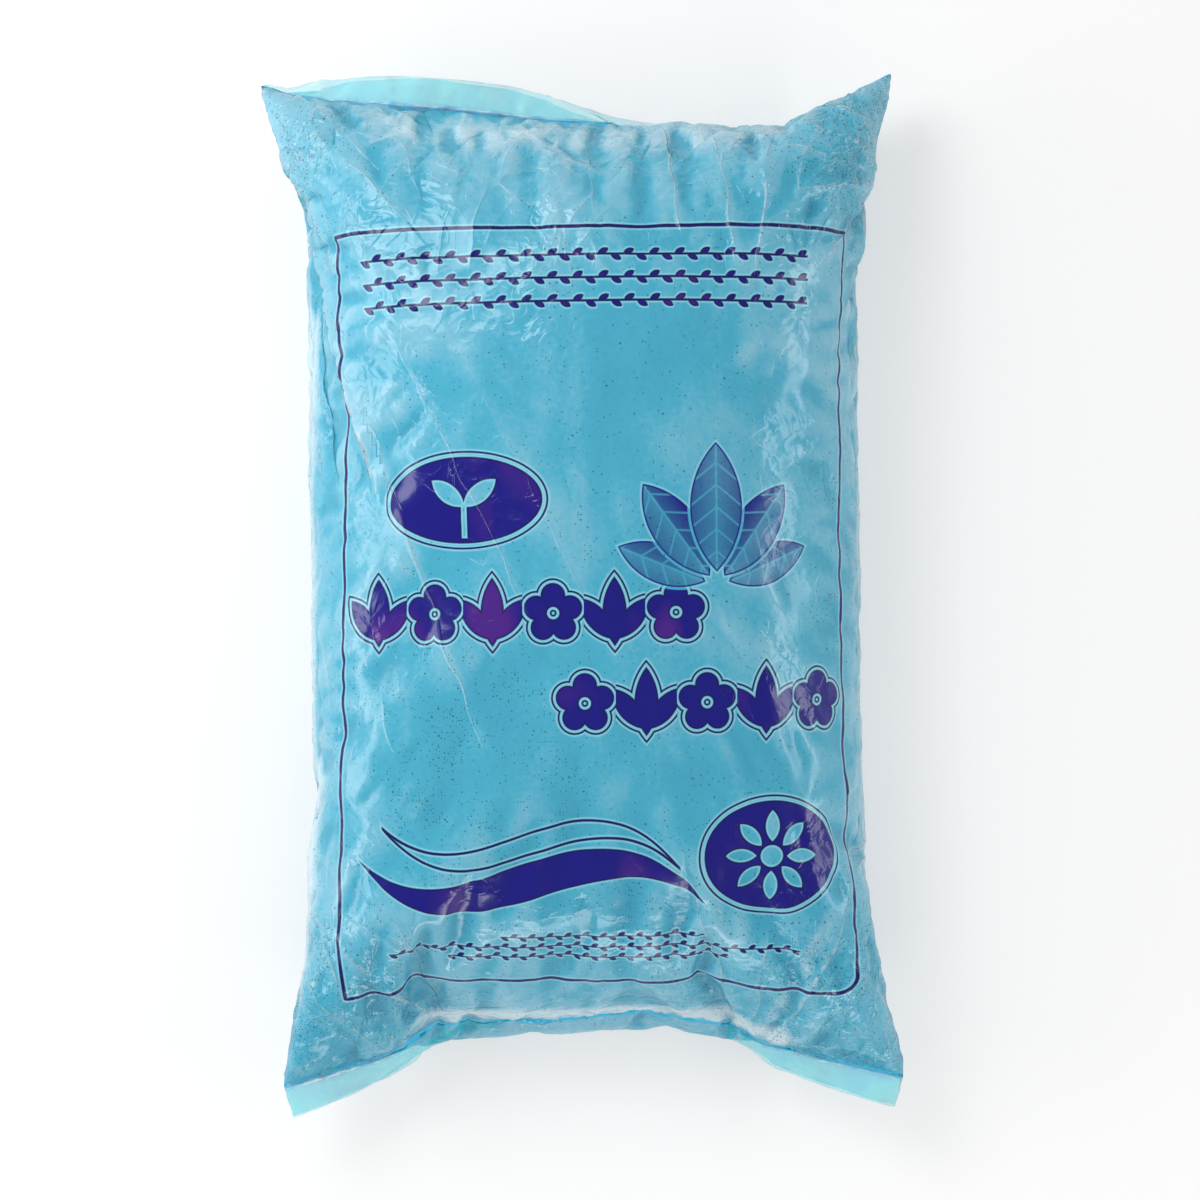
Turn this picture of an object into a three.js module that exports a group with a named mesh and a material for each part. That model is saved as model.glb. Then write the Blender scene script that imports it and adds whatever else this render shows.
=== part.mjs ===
// A sack of compost: a lay-flat tube of polyethylene film, filled and closed by a heat seal at each end. It lies on
// its back with the printed face up. Millimetres, with X across the sack, Y along it towards the top seal and Z up.
//
// Film bends but doesn't stretch, so every station along the tube has the same girth, twice the flat width. The
// sack is a loft of such stations: where the fill swells it, the sack is narrow, and where the seals press it flat,
// it is wide. That gives the waist, the four corner ears and the seal lines that sag between their ears.
import * as THREE from "three";

// The film tube
const FLAT_WIDTH = 430;
const CORNER_SPAN = 656;

// The heat seals, and the selvage of two loose plies beyond each of them
const SEAL_BAND = 4;
const SEAL_THICKNESS = 0.8;
const SELVAGE_THICKNESS = 1.6;
const TOP_SELVAGE = 25;
const BOTTOM_SELVAGE = 14;
const TOP_SEAL_DIP = 20;
const BOTTOM_SEAL_DIP = 34;
const SEAL_HEIGHT = 58;

// The fill: how high the front swells over the side line, and how high that side line lies over the floor
const FRONT_SWELL = 106;
const SIDE_HEIGHT = 50;
const FLOOR_PRESS = 2;

// How bluntly each sheet turns in to a seal: a larger power stays full for longer and then closes faster
const FRONT_BLUNTNESS = { top: 3.4, bottom: 4.6 };
const BACK_BLUNTNESS = { top: 7, bottom: 9 };

// Roundness of a cross-section: 2 is an ellipse, and larger powers are boxier
const FRONT_ROUNDNESS = { middle: 2.15, end: 3.6 };
const BACK_ROUNDNESS = { middle: 4, end: 3.6 };
const ROUNDNESS_FADE = 6;

// The puckers that gather the spare width beside a seal, and the waves of the seal itself
const PUCKER_COUNT = 7;
const PUCKER_DEPTH = 5;
const PUCKER_REACH = 34;
const SEAL_WAVES = 3;
const TOP_WAVE_HEIGHT = 3;
const BOTTOM_WAVE_HEIGHT = 7;
const SEAL_WAVE_REACH = 40;
const DIP_FADE = 5;

// How far each selvage curls over: the top one stands up left of the middle and folds back at its sides
const TOP_CURL = { most: 1.65, upright: -0.45, spread: 0.4 };
const BOTTOM_CURL = { most: 1.3, upright: -1, spread: 0.7 };
const LEAST_CURL = 0.02;

// Facets
const POINTS_ACROSS = 40;
const BODY_STATIONS = 42;
const TOP_SELVAGE_STATIONS = 5;
const BOTTOM_SELVAGE_STATIONS = 3;
const STATION_CROWDING = 0.62;
const OUTLINE_STEPS = 720;
const WIDTH_HALVINGS = 40;
const EDGE_POWER = 12;

const FILM = { color: 0x5ab4cd, roughness: 0.35, metalness: 0 };

const GIRTH = 2 * FLAT_WIDTH;
const HALF_SPAN = CORNER_SPAN / 2;

const TOP_END = {
  side: 1,
  dip: TOP_SEAL_DIP,
  wave: TOP_WAVE_HEIGHT,
  selvage: TOP_SELVAGE,
  curl: TOP_CURL,
  phase: 0.6,
};
const BOTTOM_END = {
  side: -1,
  dip: BOTTOM_SEAL_DIP,
  wave: BOTTOM_WAVE_HEIGHT,
  selvage: BOTTOM_SELVAGE,
  curl: BOTTOM_CURL,
  phase: 2.1,
};

const mix = (from, to, share) => from + (to - from) * share;

// A bell over the width, 1 at its centre
const bell = (across, centre, spread) => Math.exp(-(((across - centre) / spread) ** 2));

// One side of a superellipse at the given angle: a share of the half-width and a share of the height
function superellipse(angle, power) {
  const cosine = Math.cos(angle);
  const sine = Math.abs(Math.sin(angle));
  return {
    across: Math.sign(cosine) * Math.abs(cosine) ** (2 / power),
    rise: sine ** (2 / power),
  };
}

// The sag of a seal line between its ears, as it fades into the body
function sealSag(end, across, reach) {
  return end.side * end.dip * (1 - across ** 2) * reach ** DIP_FADE;
}

// The slow waves of a seal, which both sheets follow
function sealWave(end, across, distance) {
  const wave = Math.sin(Math.PI * SEAL_WAVES * across + end.phase);
  return end.wave * wave * Math.exp(-distance / SEAL_WAVE_REACH);
}

// The puckers of one sheet: none at the seal, deepest at their reach and gone in the full body
function pucker(end, across, distance) {
  const ripple = Math.cos(Math.PI * PUCKER_COUNT * across + end.phase);
  const reach = distance / PUCKER_REACH;
  return PUCKER_DEPTH * ripple * (1 - across ** 2) * reach * Math.exp(1 - reach);
}

// A station of the filled body. place runs from -1 at the bottom seal to 1 at the top seal.
function bodyStation(place) {
  const end = place < 0 ? BOTTOM_END : TOP_END;
  const name = place < 0 ? "bottom" : "top";
  const reach = Math.abs(place);
  const distance = HALF_SPAN * (1 - reach);
  const sideHeight = mix(SIDE_HEIGHT, SEAL_HEIGHT, reach ** ROUNDNESS_FADE);
  const thinnest = SEAL_THICKNESS / 2;
  const swell = Math.max(FRONT_SWELL * (1 - reach ** FRONT_BLUNTNESS[name]), thinnest);
  const drop = Math.max((sideHeight + FLOOR_PRESS) * (1 - reach ** BACK_BLUNTNESS[name]), thinnest);
  const frontPower = mix(FRONT_ROUNDNESS.middle, FRONT_ROUNDNESS.end, reach ** ROUNDNESS_FADE);
  const backPower = mix(BACK_ROUNDNESS.middle, BACK_ROUNDNESS.end, reach ** ROUNDNESS_FADE);
  return (angle, halfWidth) => {
    const front = angle <= Math.PI;
    const { across, rise } = superellipse(angle, front ? frontPower : backPower);
    const sheet = front ? rise * (swell + pucker(end, across, distance)) : -rise * drop;
    const height = sideHeight + sheet + sealWave(end, across, distance);
    const along = place * HALF_SPAN - sealSag(end, across, reach);
    return new THREE.Vector3(across * halfWidth, along, Math.max(height, 0));
  };
}

// A station beyond a seal: two flat plies, so far past the seal's inner edge, which curl over as one arc
function selvageStation(end, past) {
  const length = SEAL_BAND + end.selvage;
  const halfThickness = (past <= SEAL_BAND ? SEAL_THICKNESS : SELVAGE_THICKNESS) / 2;
  return (angle, halfWidth) => {
    const { across, rise } = superellipse(angle, EDGE_POWER);
    const upright = bell(across, end.curl.upright, end.curl.spread);
    const turn = Math.max(end.curl.most * (1 - upright), LEAST_CURL);
    const radius = length / turn;
    const bent = past / radius;
    const offset = (angle <= Math.PI ? 1 : -1) * rise * halfThickness;
    const out = radius * Math.sin(bent) + offset * Math.sin(bent);
    const down = radius * (1 - Math.cos(bent)) - offset * Math.cos(bent);
    const along = end.side * (HALF_SPAN + out) - sealSag(end, across, 1);
    return new THREE.Vector3(across * halfWidth, along, SEAL_HEIGHT + sealWave(end, across, 0) - down);
  };
}

// The running length along a station's outline, from its left side over the front and back under the sack
function traceOutline(station, halfWidth) {
  const points = [];
  const lengths = [0];
  for (let step = 0; step <= OUTLINE_STEPS; step += 1) {
    const turned = Math.PI - (2 * Math.PI * step) / OUTLINE_STEPS;
    points.push(station(turned < 0 ? turned + 2 * Math.PI : turned, halfWidth));
    if (step > 0) {
      lengths.push(lengths[step - 1] + points[step].distanceTo(points[step - 1]));
    }
  }
  return { points, lengths, girth: lengths[OUTLINE_STEPS], front: lengths[OUTLINE_STEPS / 2] };
}

// The half-width at which a station has the film's own girth
function solveHalfWidth(station) {
  let narrow = 0;
  let wide = FLAT_WIDTH;
  for (let halving = 0; halving < WIDTH_HALVINGS; halving += 1) {
    const middle = (narrow + wide) / 2;
    if (traceOutline(station, middle).girth < GIRTH) {
      narrow = middle;
    } else {
      wide = middle;
    }
  }
  return (narrow + wide) / 2;
}

// A ring of points at equal steps of film, with the tube's two folded edges at the first and the middle point
function makeRing(station) {
  const outline = traceOutline(station, solveHalfWidth(station));
  const count = 2 * POINTS_ACROSS;
  const start = (outline.front - outline.girth / 2) / 2;
  const ring = [];
  let step = 0;
  for (let index = 0; index < count; index += 1) {
    const target = (start + (outline.girth * index) / count + outline.girth) % outline.girth;
    if (outline.lengths[step] > target) {
      step = 0;
    }
    while (outline.lengths[step + 1] < target) {
      step += 1;
    }
    const share = (target - outline.lengths[step]) / (outline.lengths[step + 1] - outline.lengths[step]);
    ring.push(outline.points[step].clone().lerp(outline.points[step + 1], share));
  }
  return ring;
}

// Places of the body's stations, closer together towards the seals
function bodyPlaces() {
  const places = [];
  for (let index = 0; index <= BODY_STATIONS; index += 1) {
    const even = (2 * index) / BODY_STATIONS - 1;
    places.push(mix(even, Math.sin((Math.PI / 2) * even), STATION_CROWDING));
  }
  return places;
}

// The stations beyond one seal, from its inner edge outwards
function selvageStations(end, count) {
  const stations = [selvageStation(end, SEAL_BAND)];
  for (let index = 1; index <= count; index += 1) {
    stations.push(selvageStation(end, SEAL_BAND + (end.selvage * index) / count));
  }
  return stations;
}

// The closed skin over a row of rings, with the gap between the plies closed at both cut ends
function loftRings(rings) {
  const count = 2 * POINTS_ACROSS;
  const corners = [];
  const quad = (a, b, c, d) => corners.push(a, b, c, a, c, d);
  for (let row = 0; row + 1 < rings.length; row += 1) {
    for (let index = 0; index < count; index += 1) {
      const next = (index + 1) % count;
      quad(row * count + index, row * count + next, (row + 1) * count + next, (row + 1) * count + index);
    }
  }
  const last = (rings.length - 1) * count;
  for (let index = 0; index < POINTS_ACROSS; index += 1) {
    const under = (count - index) % count;
    const nextUnder = count - index - 1;
    if (index > 0) {
      corners.push(index, under, nextUnder);
      corners.push(last + index, last + nextUnder, last + under);
    }
    if (index + 1 < POINTS_ACROSS) {
      corners.push(index, nextUnder, index + 1);
      corners.push(last + index, last + index + 1, last + nextUnder);
    }
  }
  const geometry = new THREE.BufferGeometry();
  geometry.setAttribute("position", new THREE.Float32BufferAttribute(rings.flat().flatMap((p) => [p.x, p.y, p.z]), 3));
  geometry.setIndex(corners);
  return geometry;
}

// The whole sack as one closed skin, from the bottom selvage to the top one
function makeSack() {
  const bottom = selvageStations(BOTTOM_END, BOTTOM_SELVAGE_STATIONS).reverse();
  const body = bodyPlaces().map(bodyStation);
  const top = selvageStations(TOP_END, TOP_SELVAGE_STATIONS);
  const sack = loftRings([...bottom, ...body, ...top].map(makeRing));
  sack.computeVertexNormals();
  return sack;
}

const bag = new THREE.Mesh(makeSack(), new THREE.MeshStandardMaterial(FILM));
bag.name = "bag";

// The origin lies on the floor under the middle of the sack
bag.geometry.computeBoundingBox();
const middle = bag.geometry.boundingBox.getCenter(new THREE.Vector3());
bag.position.set(-middle.x, -middle.y, -bag.geometry.boundingBox.min.z);

const compostBag = new THREE.Group();
compostBag.name = "compost_bag";
compostBag.add(bag);

export default compostBag;
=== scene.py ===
"""A sack of compost in printed polyethylene film, lying on its back on a pale floor.

The film is a lay-flat tube, closed by a heat seal at each end and filled. It is settled here by a
small solver for film that bends and folds but doesn't stretch, and then cut into three pieces: the
filled sack and the two selvages of loose film beyond its seals. Metres throughout, apart from the
print, which is laid out in millimetres of film.
"""
import math

import bpy
import numpy as np
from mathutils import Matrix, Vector


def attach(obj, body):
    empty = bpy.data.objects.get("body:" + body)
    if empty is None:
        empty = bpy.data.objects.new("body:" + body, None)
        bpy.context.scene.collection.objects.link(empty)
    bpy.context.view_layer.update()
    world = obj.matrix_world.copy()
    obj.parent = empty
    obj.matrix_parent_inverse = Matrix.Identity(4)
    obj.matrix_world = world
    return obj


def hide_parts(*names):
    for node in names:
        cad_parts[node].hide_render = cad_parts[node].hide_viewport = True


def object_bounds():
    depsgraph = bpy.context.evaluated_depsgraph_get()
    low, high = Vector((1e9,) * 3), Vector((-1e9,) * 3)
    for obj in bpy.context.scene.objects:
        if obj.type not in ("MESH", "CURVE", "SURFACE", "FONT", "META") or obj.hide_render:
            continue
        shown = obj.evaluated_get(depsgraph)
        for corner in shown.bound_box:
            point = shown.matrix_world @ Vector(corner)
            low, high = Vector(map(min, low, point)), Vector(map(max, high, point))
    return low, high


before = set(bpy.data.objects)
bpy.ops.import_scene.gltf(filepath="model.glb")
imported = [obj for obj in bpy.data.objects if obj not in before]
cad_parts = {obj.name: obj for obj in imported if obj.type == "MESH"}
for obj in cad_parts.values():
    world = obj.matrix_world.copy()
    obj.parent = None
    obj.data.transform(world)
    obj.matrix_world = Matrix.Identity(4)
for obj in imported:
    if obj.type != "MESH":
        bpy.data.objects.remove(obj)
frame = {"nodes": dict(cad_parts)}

bl_info = {
    "name": "Compost Sack",
    "version": (1, 0, 0),
    "blender": (4, 5, 0),
    "location": "View3D > Sidebar > Compost Sack",
    "description": "Makes a filled and printed sack of polyethylene film, and a plain studio for it",
    "category": "Object",
}

CAD_LOW, CAD_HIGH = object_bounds()
CAD_MIDDLE = (CAD_LOW + CAD_HIGH) / 2

MM = 0.001
REAL = np.float32

# The weight of the fill: how pressure falls with height, and how it changes towards the top seal
FILL_GRADIENT = 0.8
FILL_DEPTH = 0.15
FILL_TILT = -0.35
FILL_HALF_LENGTH = 0.33

# The solver's grid, which is doubled at each level, and how long each level settles
CELLS_ACROSS = 21
SETTLING = (1500, 1000, 700, 450)
CENTRE_EVERY = 50

# Its steps: the push of the pressure, the film's stiffness, the share of its speed that it keeps, the
# error in volume, as a share, that changes the pressure by one and the most that it changes it, how
# uneven the flat tube is in metres, how much it is shaken at each level as a share of a cell, how firmly
# shear and the floor hold, and the seed of every random draw up to the crests
PRESSURE_STEP = 0.0012
STIFFNESS = 0.00035
DAMPING = 0.97
VOLUME_GRIP = 0.02
PRESSURE_MOST = 1.5
UNEVENNESS = 0.0005
SHAKE = 0.02
SHEAR_GRIP = 0.4
FLOOR_GRIP = 0.3
SEED = 3

# Slack in the film, as a share of its length: where it is crumpled, and the size of its crumples
SLACK = 0.026
SLACK_SHORTEST = 0.014
SLACK_LONGEST = 0.055
SLACK_IN_MIDDLE = 0.12
SLACK_AT_SIDES = 0.45
SLACK_AT_BOTTOM = 0.75
SLACK_MOST = 1.5
TOP_REACH = 0.085
BOTTOM_REACH = 0.050
SIDE_REACH = 0.040
FOLD_STRETCH = 2.2

# Lumps of the fill under the film
LUMP_STRENGTH = 0.25
LUMP_SHORTEST = 0.030
LUMP_LONGEST = 0.120
LUMPS_UNDERNEATH = 0.4

# The heat seals draw the film in as they cool, and the tube's folded edges keep their crease
SEAL_SHRINK = 0.004
SEAL_REACH = 0.004
EDGE_CREASE = 0.15
EDGE_ANGLE = 110
PLY_GAP = 0.0008

# How a crease fades in at its start and out at its end
CREASE_FADE = (0.15, 0.85)

# Creases pressed into the front, each from one place to another as shares of the flat width and length,
# with its width in metres and its depth as a share of the filling pressure
CREASES = (
    # the fold that runs down from the top left ear, and two lighter ones beside it
    (0.02, 0.90, 0.095, 0.62, 0.012, 1.20),
    (0.05, 0.965, 0.26, 0.79, 0.007, 0.70),
    (0.07, 0.985, 0.32, 0.83, 0.005, 0.45),
    # soft bands that carry on from it down the front
    (0.13, 0.66, 0.36, 0.30, 0.022, 0.45),
    (0.20, 0.72, 0.50, 0.36, 0.018, 0.30),
    # puckers gathered at the neck of the top right ear
    (0.985, 0.89, 0.78, 0.975, 0.006, 0.35),
    (0.985, 0.88, 0.84, 0.79, 0.007, 0.35),
    (0.985, 0.87, 0.93, 0.68, 0.009, 0.45),
    # vertical bands under the top seal
    (0.64, 0.965, 0.66, 0.80, 0.010, 0.35),
    (0.76, 0.93, 0.74, 0.74, 0.012, 0.35),
    # folds up from the bottom corners
    (0.27, 0.012, 0.13, 0.13, 0.009, 0.90),
    (0.27, 0.012, 0.20, 0.17, 0.007, 0.55),
    (0.74, 0.012, 0.62, 0.22, 0.010, 0.60),
    (0.78, 0.015, 0.86, 0.15, 0.009, 0.75),
    # a pinch in the right side
    (1.00, 0.235, 0.92, 0.225, 0.007, 1.30),
)

# Sharp crests pinched up in the settled film: each runs from one place to another, as shares of the flat
# width and length, and has a bow to its left, a height, and the reach of its left and of its right flank,
# all in metres
CRESTS = (
    # the fold that runs down from the top left ear, and the hollow behind it
    (0.005, 0.990, 0.165, 0.600, -0.007, 0.0060, 0.014, 0.0020),
    (-0.020, 0.900, 0.090, 0.600, -0.004, -0.0070, 0.010, 0.016),
    (0.050, 0.900, 0.105, 0.800, 0.000, 0.0018, 0.005, 0.003),
    (0.020, 0.950, 0.062, 0.850, 0.000, 0.0018, 0.004, 0.003),
    (0.030, 0.975, 0.260, 0.820, 0.004, 0.0014, 0.004, 0.006),
    (0.060, 0.990, 0.190, 0.900, 0.000, 0.0014, 0.004, 0.005),
    # soft bands that carry on from it down the front
    (0.160, 0.660, 0.345, 0.340, 0.000, 0.0016, 0.009, 0.012),
    (0.215, 0.730, 0.430, 0.440, 0.000, 0.0011, 0.012, 0.010),
    (0.330, 0.700, 0.540, 0.420, 0.000, 0.0008, 0.011, 0.009),
    # puckers gathered at the neck of the top right ear
    (0.992, 0.905, 0.870, 0.990, 0.000, 0.0020, 0.0035, 0.004),
    (0.990, 0.900, 0.790, 0.960, 0.000, 0.0022, 0.0040, 0.004),
    (0.990, 0.893, 0.800, 0.915, 0.000, 0.0020, 0.0040, 0.004),
    (0.990, 0.888, 0.820, 0.865, 0.000, 0.0022, 0.0040, 0.005),
    (0.992, 0.882, 0.860, 0.800, 0.000, 0.0026, 0.0045, 0.004),
    (0.994, 0.875, 0.925, 0.760, 0.000, 0.0030, 0.0050, 0.004),
    (0.996, 0.870, 0.965, 0.700, 0.000, 0.0030, 0.0050, 0.004),
    # vertical bands under the top seal
    (0.500, 0.985, 0.515, 0.840, 0.000, 0.0012, 0.006, 0.004),
    (0.620, 0.990, 0.640, 0.830, 0.000, 0.0018, 0.009, 0.003),
    (0.690, 0.985, 0.720, 0.800, 0.000, 0.0018, 0.010, 0.004),
    (0.800, 0.970, 0.750, 0.790, 0.000, 0.0016, 0.004, 0.007),
    # folds up from the bottom corners
    (0.270, 0.010, 0.120, 0.150, 0.000, 0.0024, 0.004, 0.006),
    (0.285, 0.008, 0.215, 0.170, 0.000, 0.0018, 0.004, 0.006),
    (0.160, 0.015, 0.060, 0.110, 0.000, 0.0020, 0.004, 0.006),
    (0.745, 0.010, 0.640, 0.230, 0.000, 0.0020, 0.005, 0.008),
    (0.760, 0.010, 0.770, 0.150, 0.000, 0.0018, 0.004, 0.006),
    (0.790, 0.010, 0.900, 0.190, 0.000, 0.0024, 0.006, 0.004),
    # a pinch in the right side
    (1.030, 0.240, 0.915, 0.232, 0.000, 0.0026, 0.004, 0.003),
    (1.030, 0.226, 0.930, 0.214, 0.000, 0.0022, 0.003, 0.004),
)

# Small crests scattered over parts of the film: how many, the part's range round the tube and along it as
# shares of the flat width and length, the range of their headings in degrees and of their lengths, their
# height and flank
CRUMPLES = (
    # under the top seal
    (75, (0.04, 0.96), (0.880, 0.995), (15, 165), (0.012, 0.045), 0.0013, 0.0042),
    (40, (0.04, 0.96), (0.780, 0.900), (35, 145), (0.015, 0.050), 0.0009, 0.0050),
    # the top right ear and the shoulder below it
    (50, (0.76, 1.02), (0.800, 0.990), (15, 110), (0.012, 0.040), 0.0013, 0.0036),
    # the left side, where the film stands off the soil, and the right side
    (70, (-0.16, 0.13), (0.050, 0.920), (55, 140), (0.015, 0.060), 0.0013, 0.0045),
    (75, (0.88, 1.16), (0.050, 0.900), (40, 125), (0.012, 0.050), 0.0013, 0.0042),
    # over the bottom seal and at the bottom corners
    (70, (0.18, 0.82), (0.005, 0.060), (-35, 35), (0.015, 0.055), 0.0013, 0.0038),
    (36, (0.00, 0.22), (0.005, 0.150), (60, 150), (0.012, 0.045), 0.0014, 0.0040),
    (36, (0.78, 1.00), (0.005, 0.150), (30, 120), (0.012, 0.045), 0.0014, 0.0040),
    # the middle of the front, mostly along the slope of the fold
    (60, (0.12, 0.88), (0.120, 0.800), (95, 150), (0.010, 0.045), 0.0005, 0.0040),
    # the back, which is creased all over where it lies
    (150, (1.05, 1.95), (0.010, 0.990), (0, 180), (0.015, 0.060), 0.0008, 0.0045),
)

# The seed of the scattered crests and the share of them that are valleys, how near a seal they fade out, how
# far past its ends a crest is worked out, how it fades at its tips, the height from which its line is drawn
# in full, and how close to the crest the line is drawn. That line is a bump, and the materials also paint it
# as a pale highlight along the crest, with painted light and shade on either side.
CRUMPLE_SEED = 8
VALLEY_SHARE = 0.3
CREST_SEAL_REACH = 0.006
CREST_WINDOW = 0.040
CREST_FADE = (0.08, 0.84)
CREST_FULL = 0.0030
CREST_CLOSE = 0.0045

# Fine crinkles that stand on the settled film
CRINKLE_HEIGHT = 0.00050
CRINKLE_SIZES = ((0.014, 0.045), (0.009, 0.022))
CRINKLE_SHARES = (1.0, 0.45)
# the film's own smoothed level and the height at which it counts as fully proud: proud film is painted paler
# and sunk film deeper, partly film off the fill and partly painted light and shade
LIFT_SPREAD = 5
LIFT_SCALE = 0.0009

# How the loose plies beyond each seal have set: the turn of the front and the back ply from straight on,
# in radians
TOP_SET = {"flat": 1.9, "front_rise": 2.6, "back_rise": 2.1, "centre": -0.42, "spread": 0.36}
BOTTOM_SET = {"front": 0.1, "back": 0.25, "tuck": 1.5, "spread": 0.62}

# Where soil lies against the film: a place as shares of the flat width and length, a reach in metres and
# an amount
SOIL_PLACES = (
    (0.92, 0.93, 0.060, 1.00),
    (0.05, 0.90, 0.050, 0.55),
    (0.06, 0.06, 0.080, 1.00),
    (0.90, 0.08, 0.090, 0.80),
    (0.30, 0.34, 0.110, 0.45),
    (0.62, 0.16, 0.100, 0.45),
    (0.97, 0.50, 0.070, 0.45),
    (0.55, 0.60, 0.160, 0.12),
)

# Where a pale sheen is painted on the film, along the bottom, the sides and under the top seal, where it
# stands loose off the soil and catches the light: a stretch from one place to another round the tube and
# along it, as shares of the flat width and length, with its reach in metres and an amount
PAINTED_SHEEN_PLACES = (
    (0.24, 0.022, 0.80, 0.022, 0.012, 1.00),
    (0.02, 0.30, 0.00, 0.12, 0.022, 0.85),
    (0.00, 0.75, 0.00, 0.32, 0.014, 0.65),
    (0.86, 0.17, 0.79, 0.05, 0.010, 0.45),
    (1.00, 0.60, 1.00, 0.12, 0.012, 0.60),
    (0.20, 0.95, 0.80, 0.95, 0.022, 0.42),
)

FILM_THICKNESS = 0.00015
BAKE_MAP = "OFBake"
BAKE_FRONT = (0.005, 0.620)
BAKE_BACK = (0.635, 0.360)
BAKE_MARGIN = 0.005

# Surface detail finer than the mesh, in the plane of the film. Sizes are in millimetres and heights in
# metres.
# Facets of crumpled film: their size, how they are stretched, and their share of the height
FACET_SIZES = ((17, (0.75, 1.3, 1.0), 1.0), (7.5, (1.0, 1.0, 1.0), 0.4))
FACET_HEIGHT = 0.0030
RIDGE_SIZE = 15
RIDGE_SHARPNESS = 11
RIDGE_HEIGHT = 0.00040
# Patches that are more crumpled than the film between them
PATCH_SIZE = 50
# What pushes facets, ridges and crest lines about, so that they wander
WANDER_SIZE = 26
WANDER_PUSH = 15
CREST_WANDER = 0.40
# The line of a crest, the light and the dark side beside it, and how strongly each shows: the line is a bump
# and a painted highlight, and the two sides are painted light and shade
CREST_LINE = 0.7
CREST_SHADE = 1.6
CREST_HEIGHT = 0.00160
LINE_SHARE = 1.5
SHADE_SHARE = 2.2
GRAIN_SIZE = 1.6
GRAIN_HEIGHT = 0.000010
# Specks of soil: the cell that each kind lies in, its radius as a share of the cell, and how common it is
SPECK_SIZES = ((1.9, 0.26, 1.0), (4.4, 0.15, 0.5))
SPECK_COVER = 0.72
SPECK_PATCH_SIZE = 40

# The tone of the film: the size of each kind of soft noise in millimetres, what each thing adds to its
# paleness, the share of the tone and of the painted crease shading, and the most that the painted whitening
# reaches. The share for lift is partly painted light and shade: paler where film stands proud, deeper where
# it sinks.
CLOUD_SIZE = 90
STREAK_SIZE = 22
STREAK_STRETCH = (1.0, 0.35, 1.0)
MOTTLE_SIZE = 3.5
PALENESS = {"lift": 0.6, "cloud": 0.50, "streak": 0.30, "mottle": 0.22, "soil": -0.75, "slack": 0.14}
TONE_SHARE = 0.75
CREASE_SHADING_SHARE = 0.35
PAINTED_WHITENING_MOST = 0.75

# The gloss: its soft noise in millimetres, and the least roughness with what the noise adds to it
GLOSS_SIZE = 35
GLOSS = (0.12, 0.14)
LOOSE_GLOSS_SIZE = 30
LOOSE_GLOSS = (0.18, 0.15)
# How much of what is behind it the loose film hides, and what its fused line adds to that
LOOSE_COVER = (0.25, 0.35)

# The fused line of a seal: its half width, and the size and height of its waves, in millimetres
SEAL_HALF_WIDTH = 1.7
SEAL_WAVE_SIZE = 9
SEAL_WAVE = 3

# The print, in millimetres: how far its ink lies thick inside an edge, the pale rim outside it, how far
# beside the print its material reaches, and the size of the patches of painted violet sheen on the ink
INK_EDGE = 1.1
INK_RIM = 1.7
PRINT_MARGIN = 8
VIOLET_SIZE = 45
VEIN_PITCH = 7
SPRAY_GAP = 1.6

# Its layout, in millimetres of film from the middle of the front
PRINT = {
    "border": {"left": -167, "right": 178, "bottom": -274, "top": 222, "line": 2.5, "corner": 14},
    # rows of small leaves: the middle row, the spacing of the rows, and the cells before and after x = 0
    # in the lower, middle and upper row
    "garlands": (
        {"y": 188, "spacing": 15, "pitch": 8.1, "before": (18, 18, 18), "after": (18, 18, 18), "stem": 0.80},
        {"y": -244, "spacing": 8, "pitch": 5.8, "before": (16, 23, 10), "after": (16, 24, 13), "stem": 0.50},
    ),
    # two rows of large motifs, the lower one set to the right
    "title": {"y": -24, "drop": 57, "start": -158, "shift": 136, "pitch": 38.8, "count": 6, "size": 45,
              "gap": 1.6, "line": 1.3},
    "top_badge": {"x": -79, "y": 48, "half_width": 51, "half_height": 27.5, "gap": 2.4, "line": 1.3},
    "low_badge": {"x": 117, "y": -180, "half_width": 44, "half_height": 36, "gap": 2.4, "line": 1.3},
    "open_ribbon": {"start": (-134, -161), "end": (57, -187), "swing": 347, "sag": -163, "thickness": 14.5},
    "full_ribbon": {"start": (-152, -181), "end": (77, -214), "swing": 422, "sag": -205, "thickness": 25.5},
    "spray": {
        "x": 82,
        "y": -8,
        # turn, half length, half width, reach from the root and depth of ink, for the leaves on either
        # side
        "leaves": ((22, 30, 12.5, 38, 1.00), (54, 36, 15.0, 44, 1.15), (90, 41, 17.0, 50, 1.35)),
    },
}

# The stage: the floor's tone, and each softbox's place from the sack's middle, its size and its share of
# the power
FLOOR_REACH = 6.0
FLOOR_DROP = 0.0005
FLOOR_WHITE = 0.62
FLOOR_GLOW = 0.44
SIDE_HEIGHT = 0.055
SOFTBOXES = (
    ("upper_left", (-0.75, 0.85, 1.10), (0.9, 0.7), 1.0),
    ("left_strip", (-1.15, 0.00, 0.45), (1.3, 0.25), 0.45),
    ("right_strip", (1.20, -0.10, 0.60), (1.3, 0.20), 0.36),
    ("foot_strip", (0.10, -1.25, 0.55), (0.9, 0.20), 0.30),
)
HORIZON_REACH = 0.5

BODY = "root"
NODE = "bag"


def smooth_steps(values, times):
    """values on the ring grid, averaged with their neighbours so many times."""
    for _ in range(times):
        rows = np.concatenate([values[:1], values, values[-1:]])
        values = (rows[:-2] + rows[2:] + np.roll(values, 1, 1) + np.roll(values, -1, 1)) * REAL(0.25)
    return values


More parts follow.
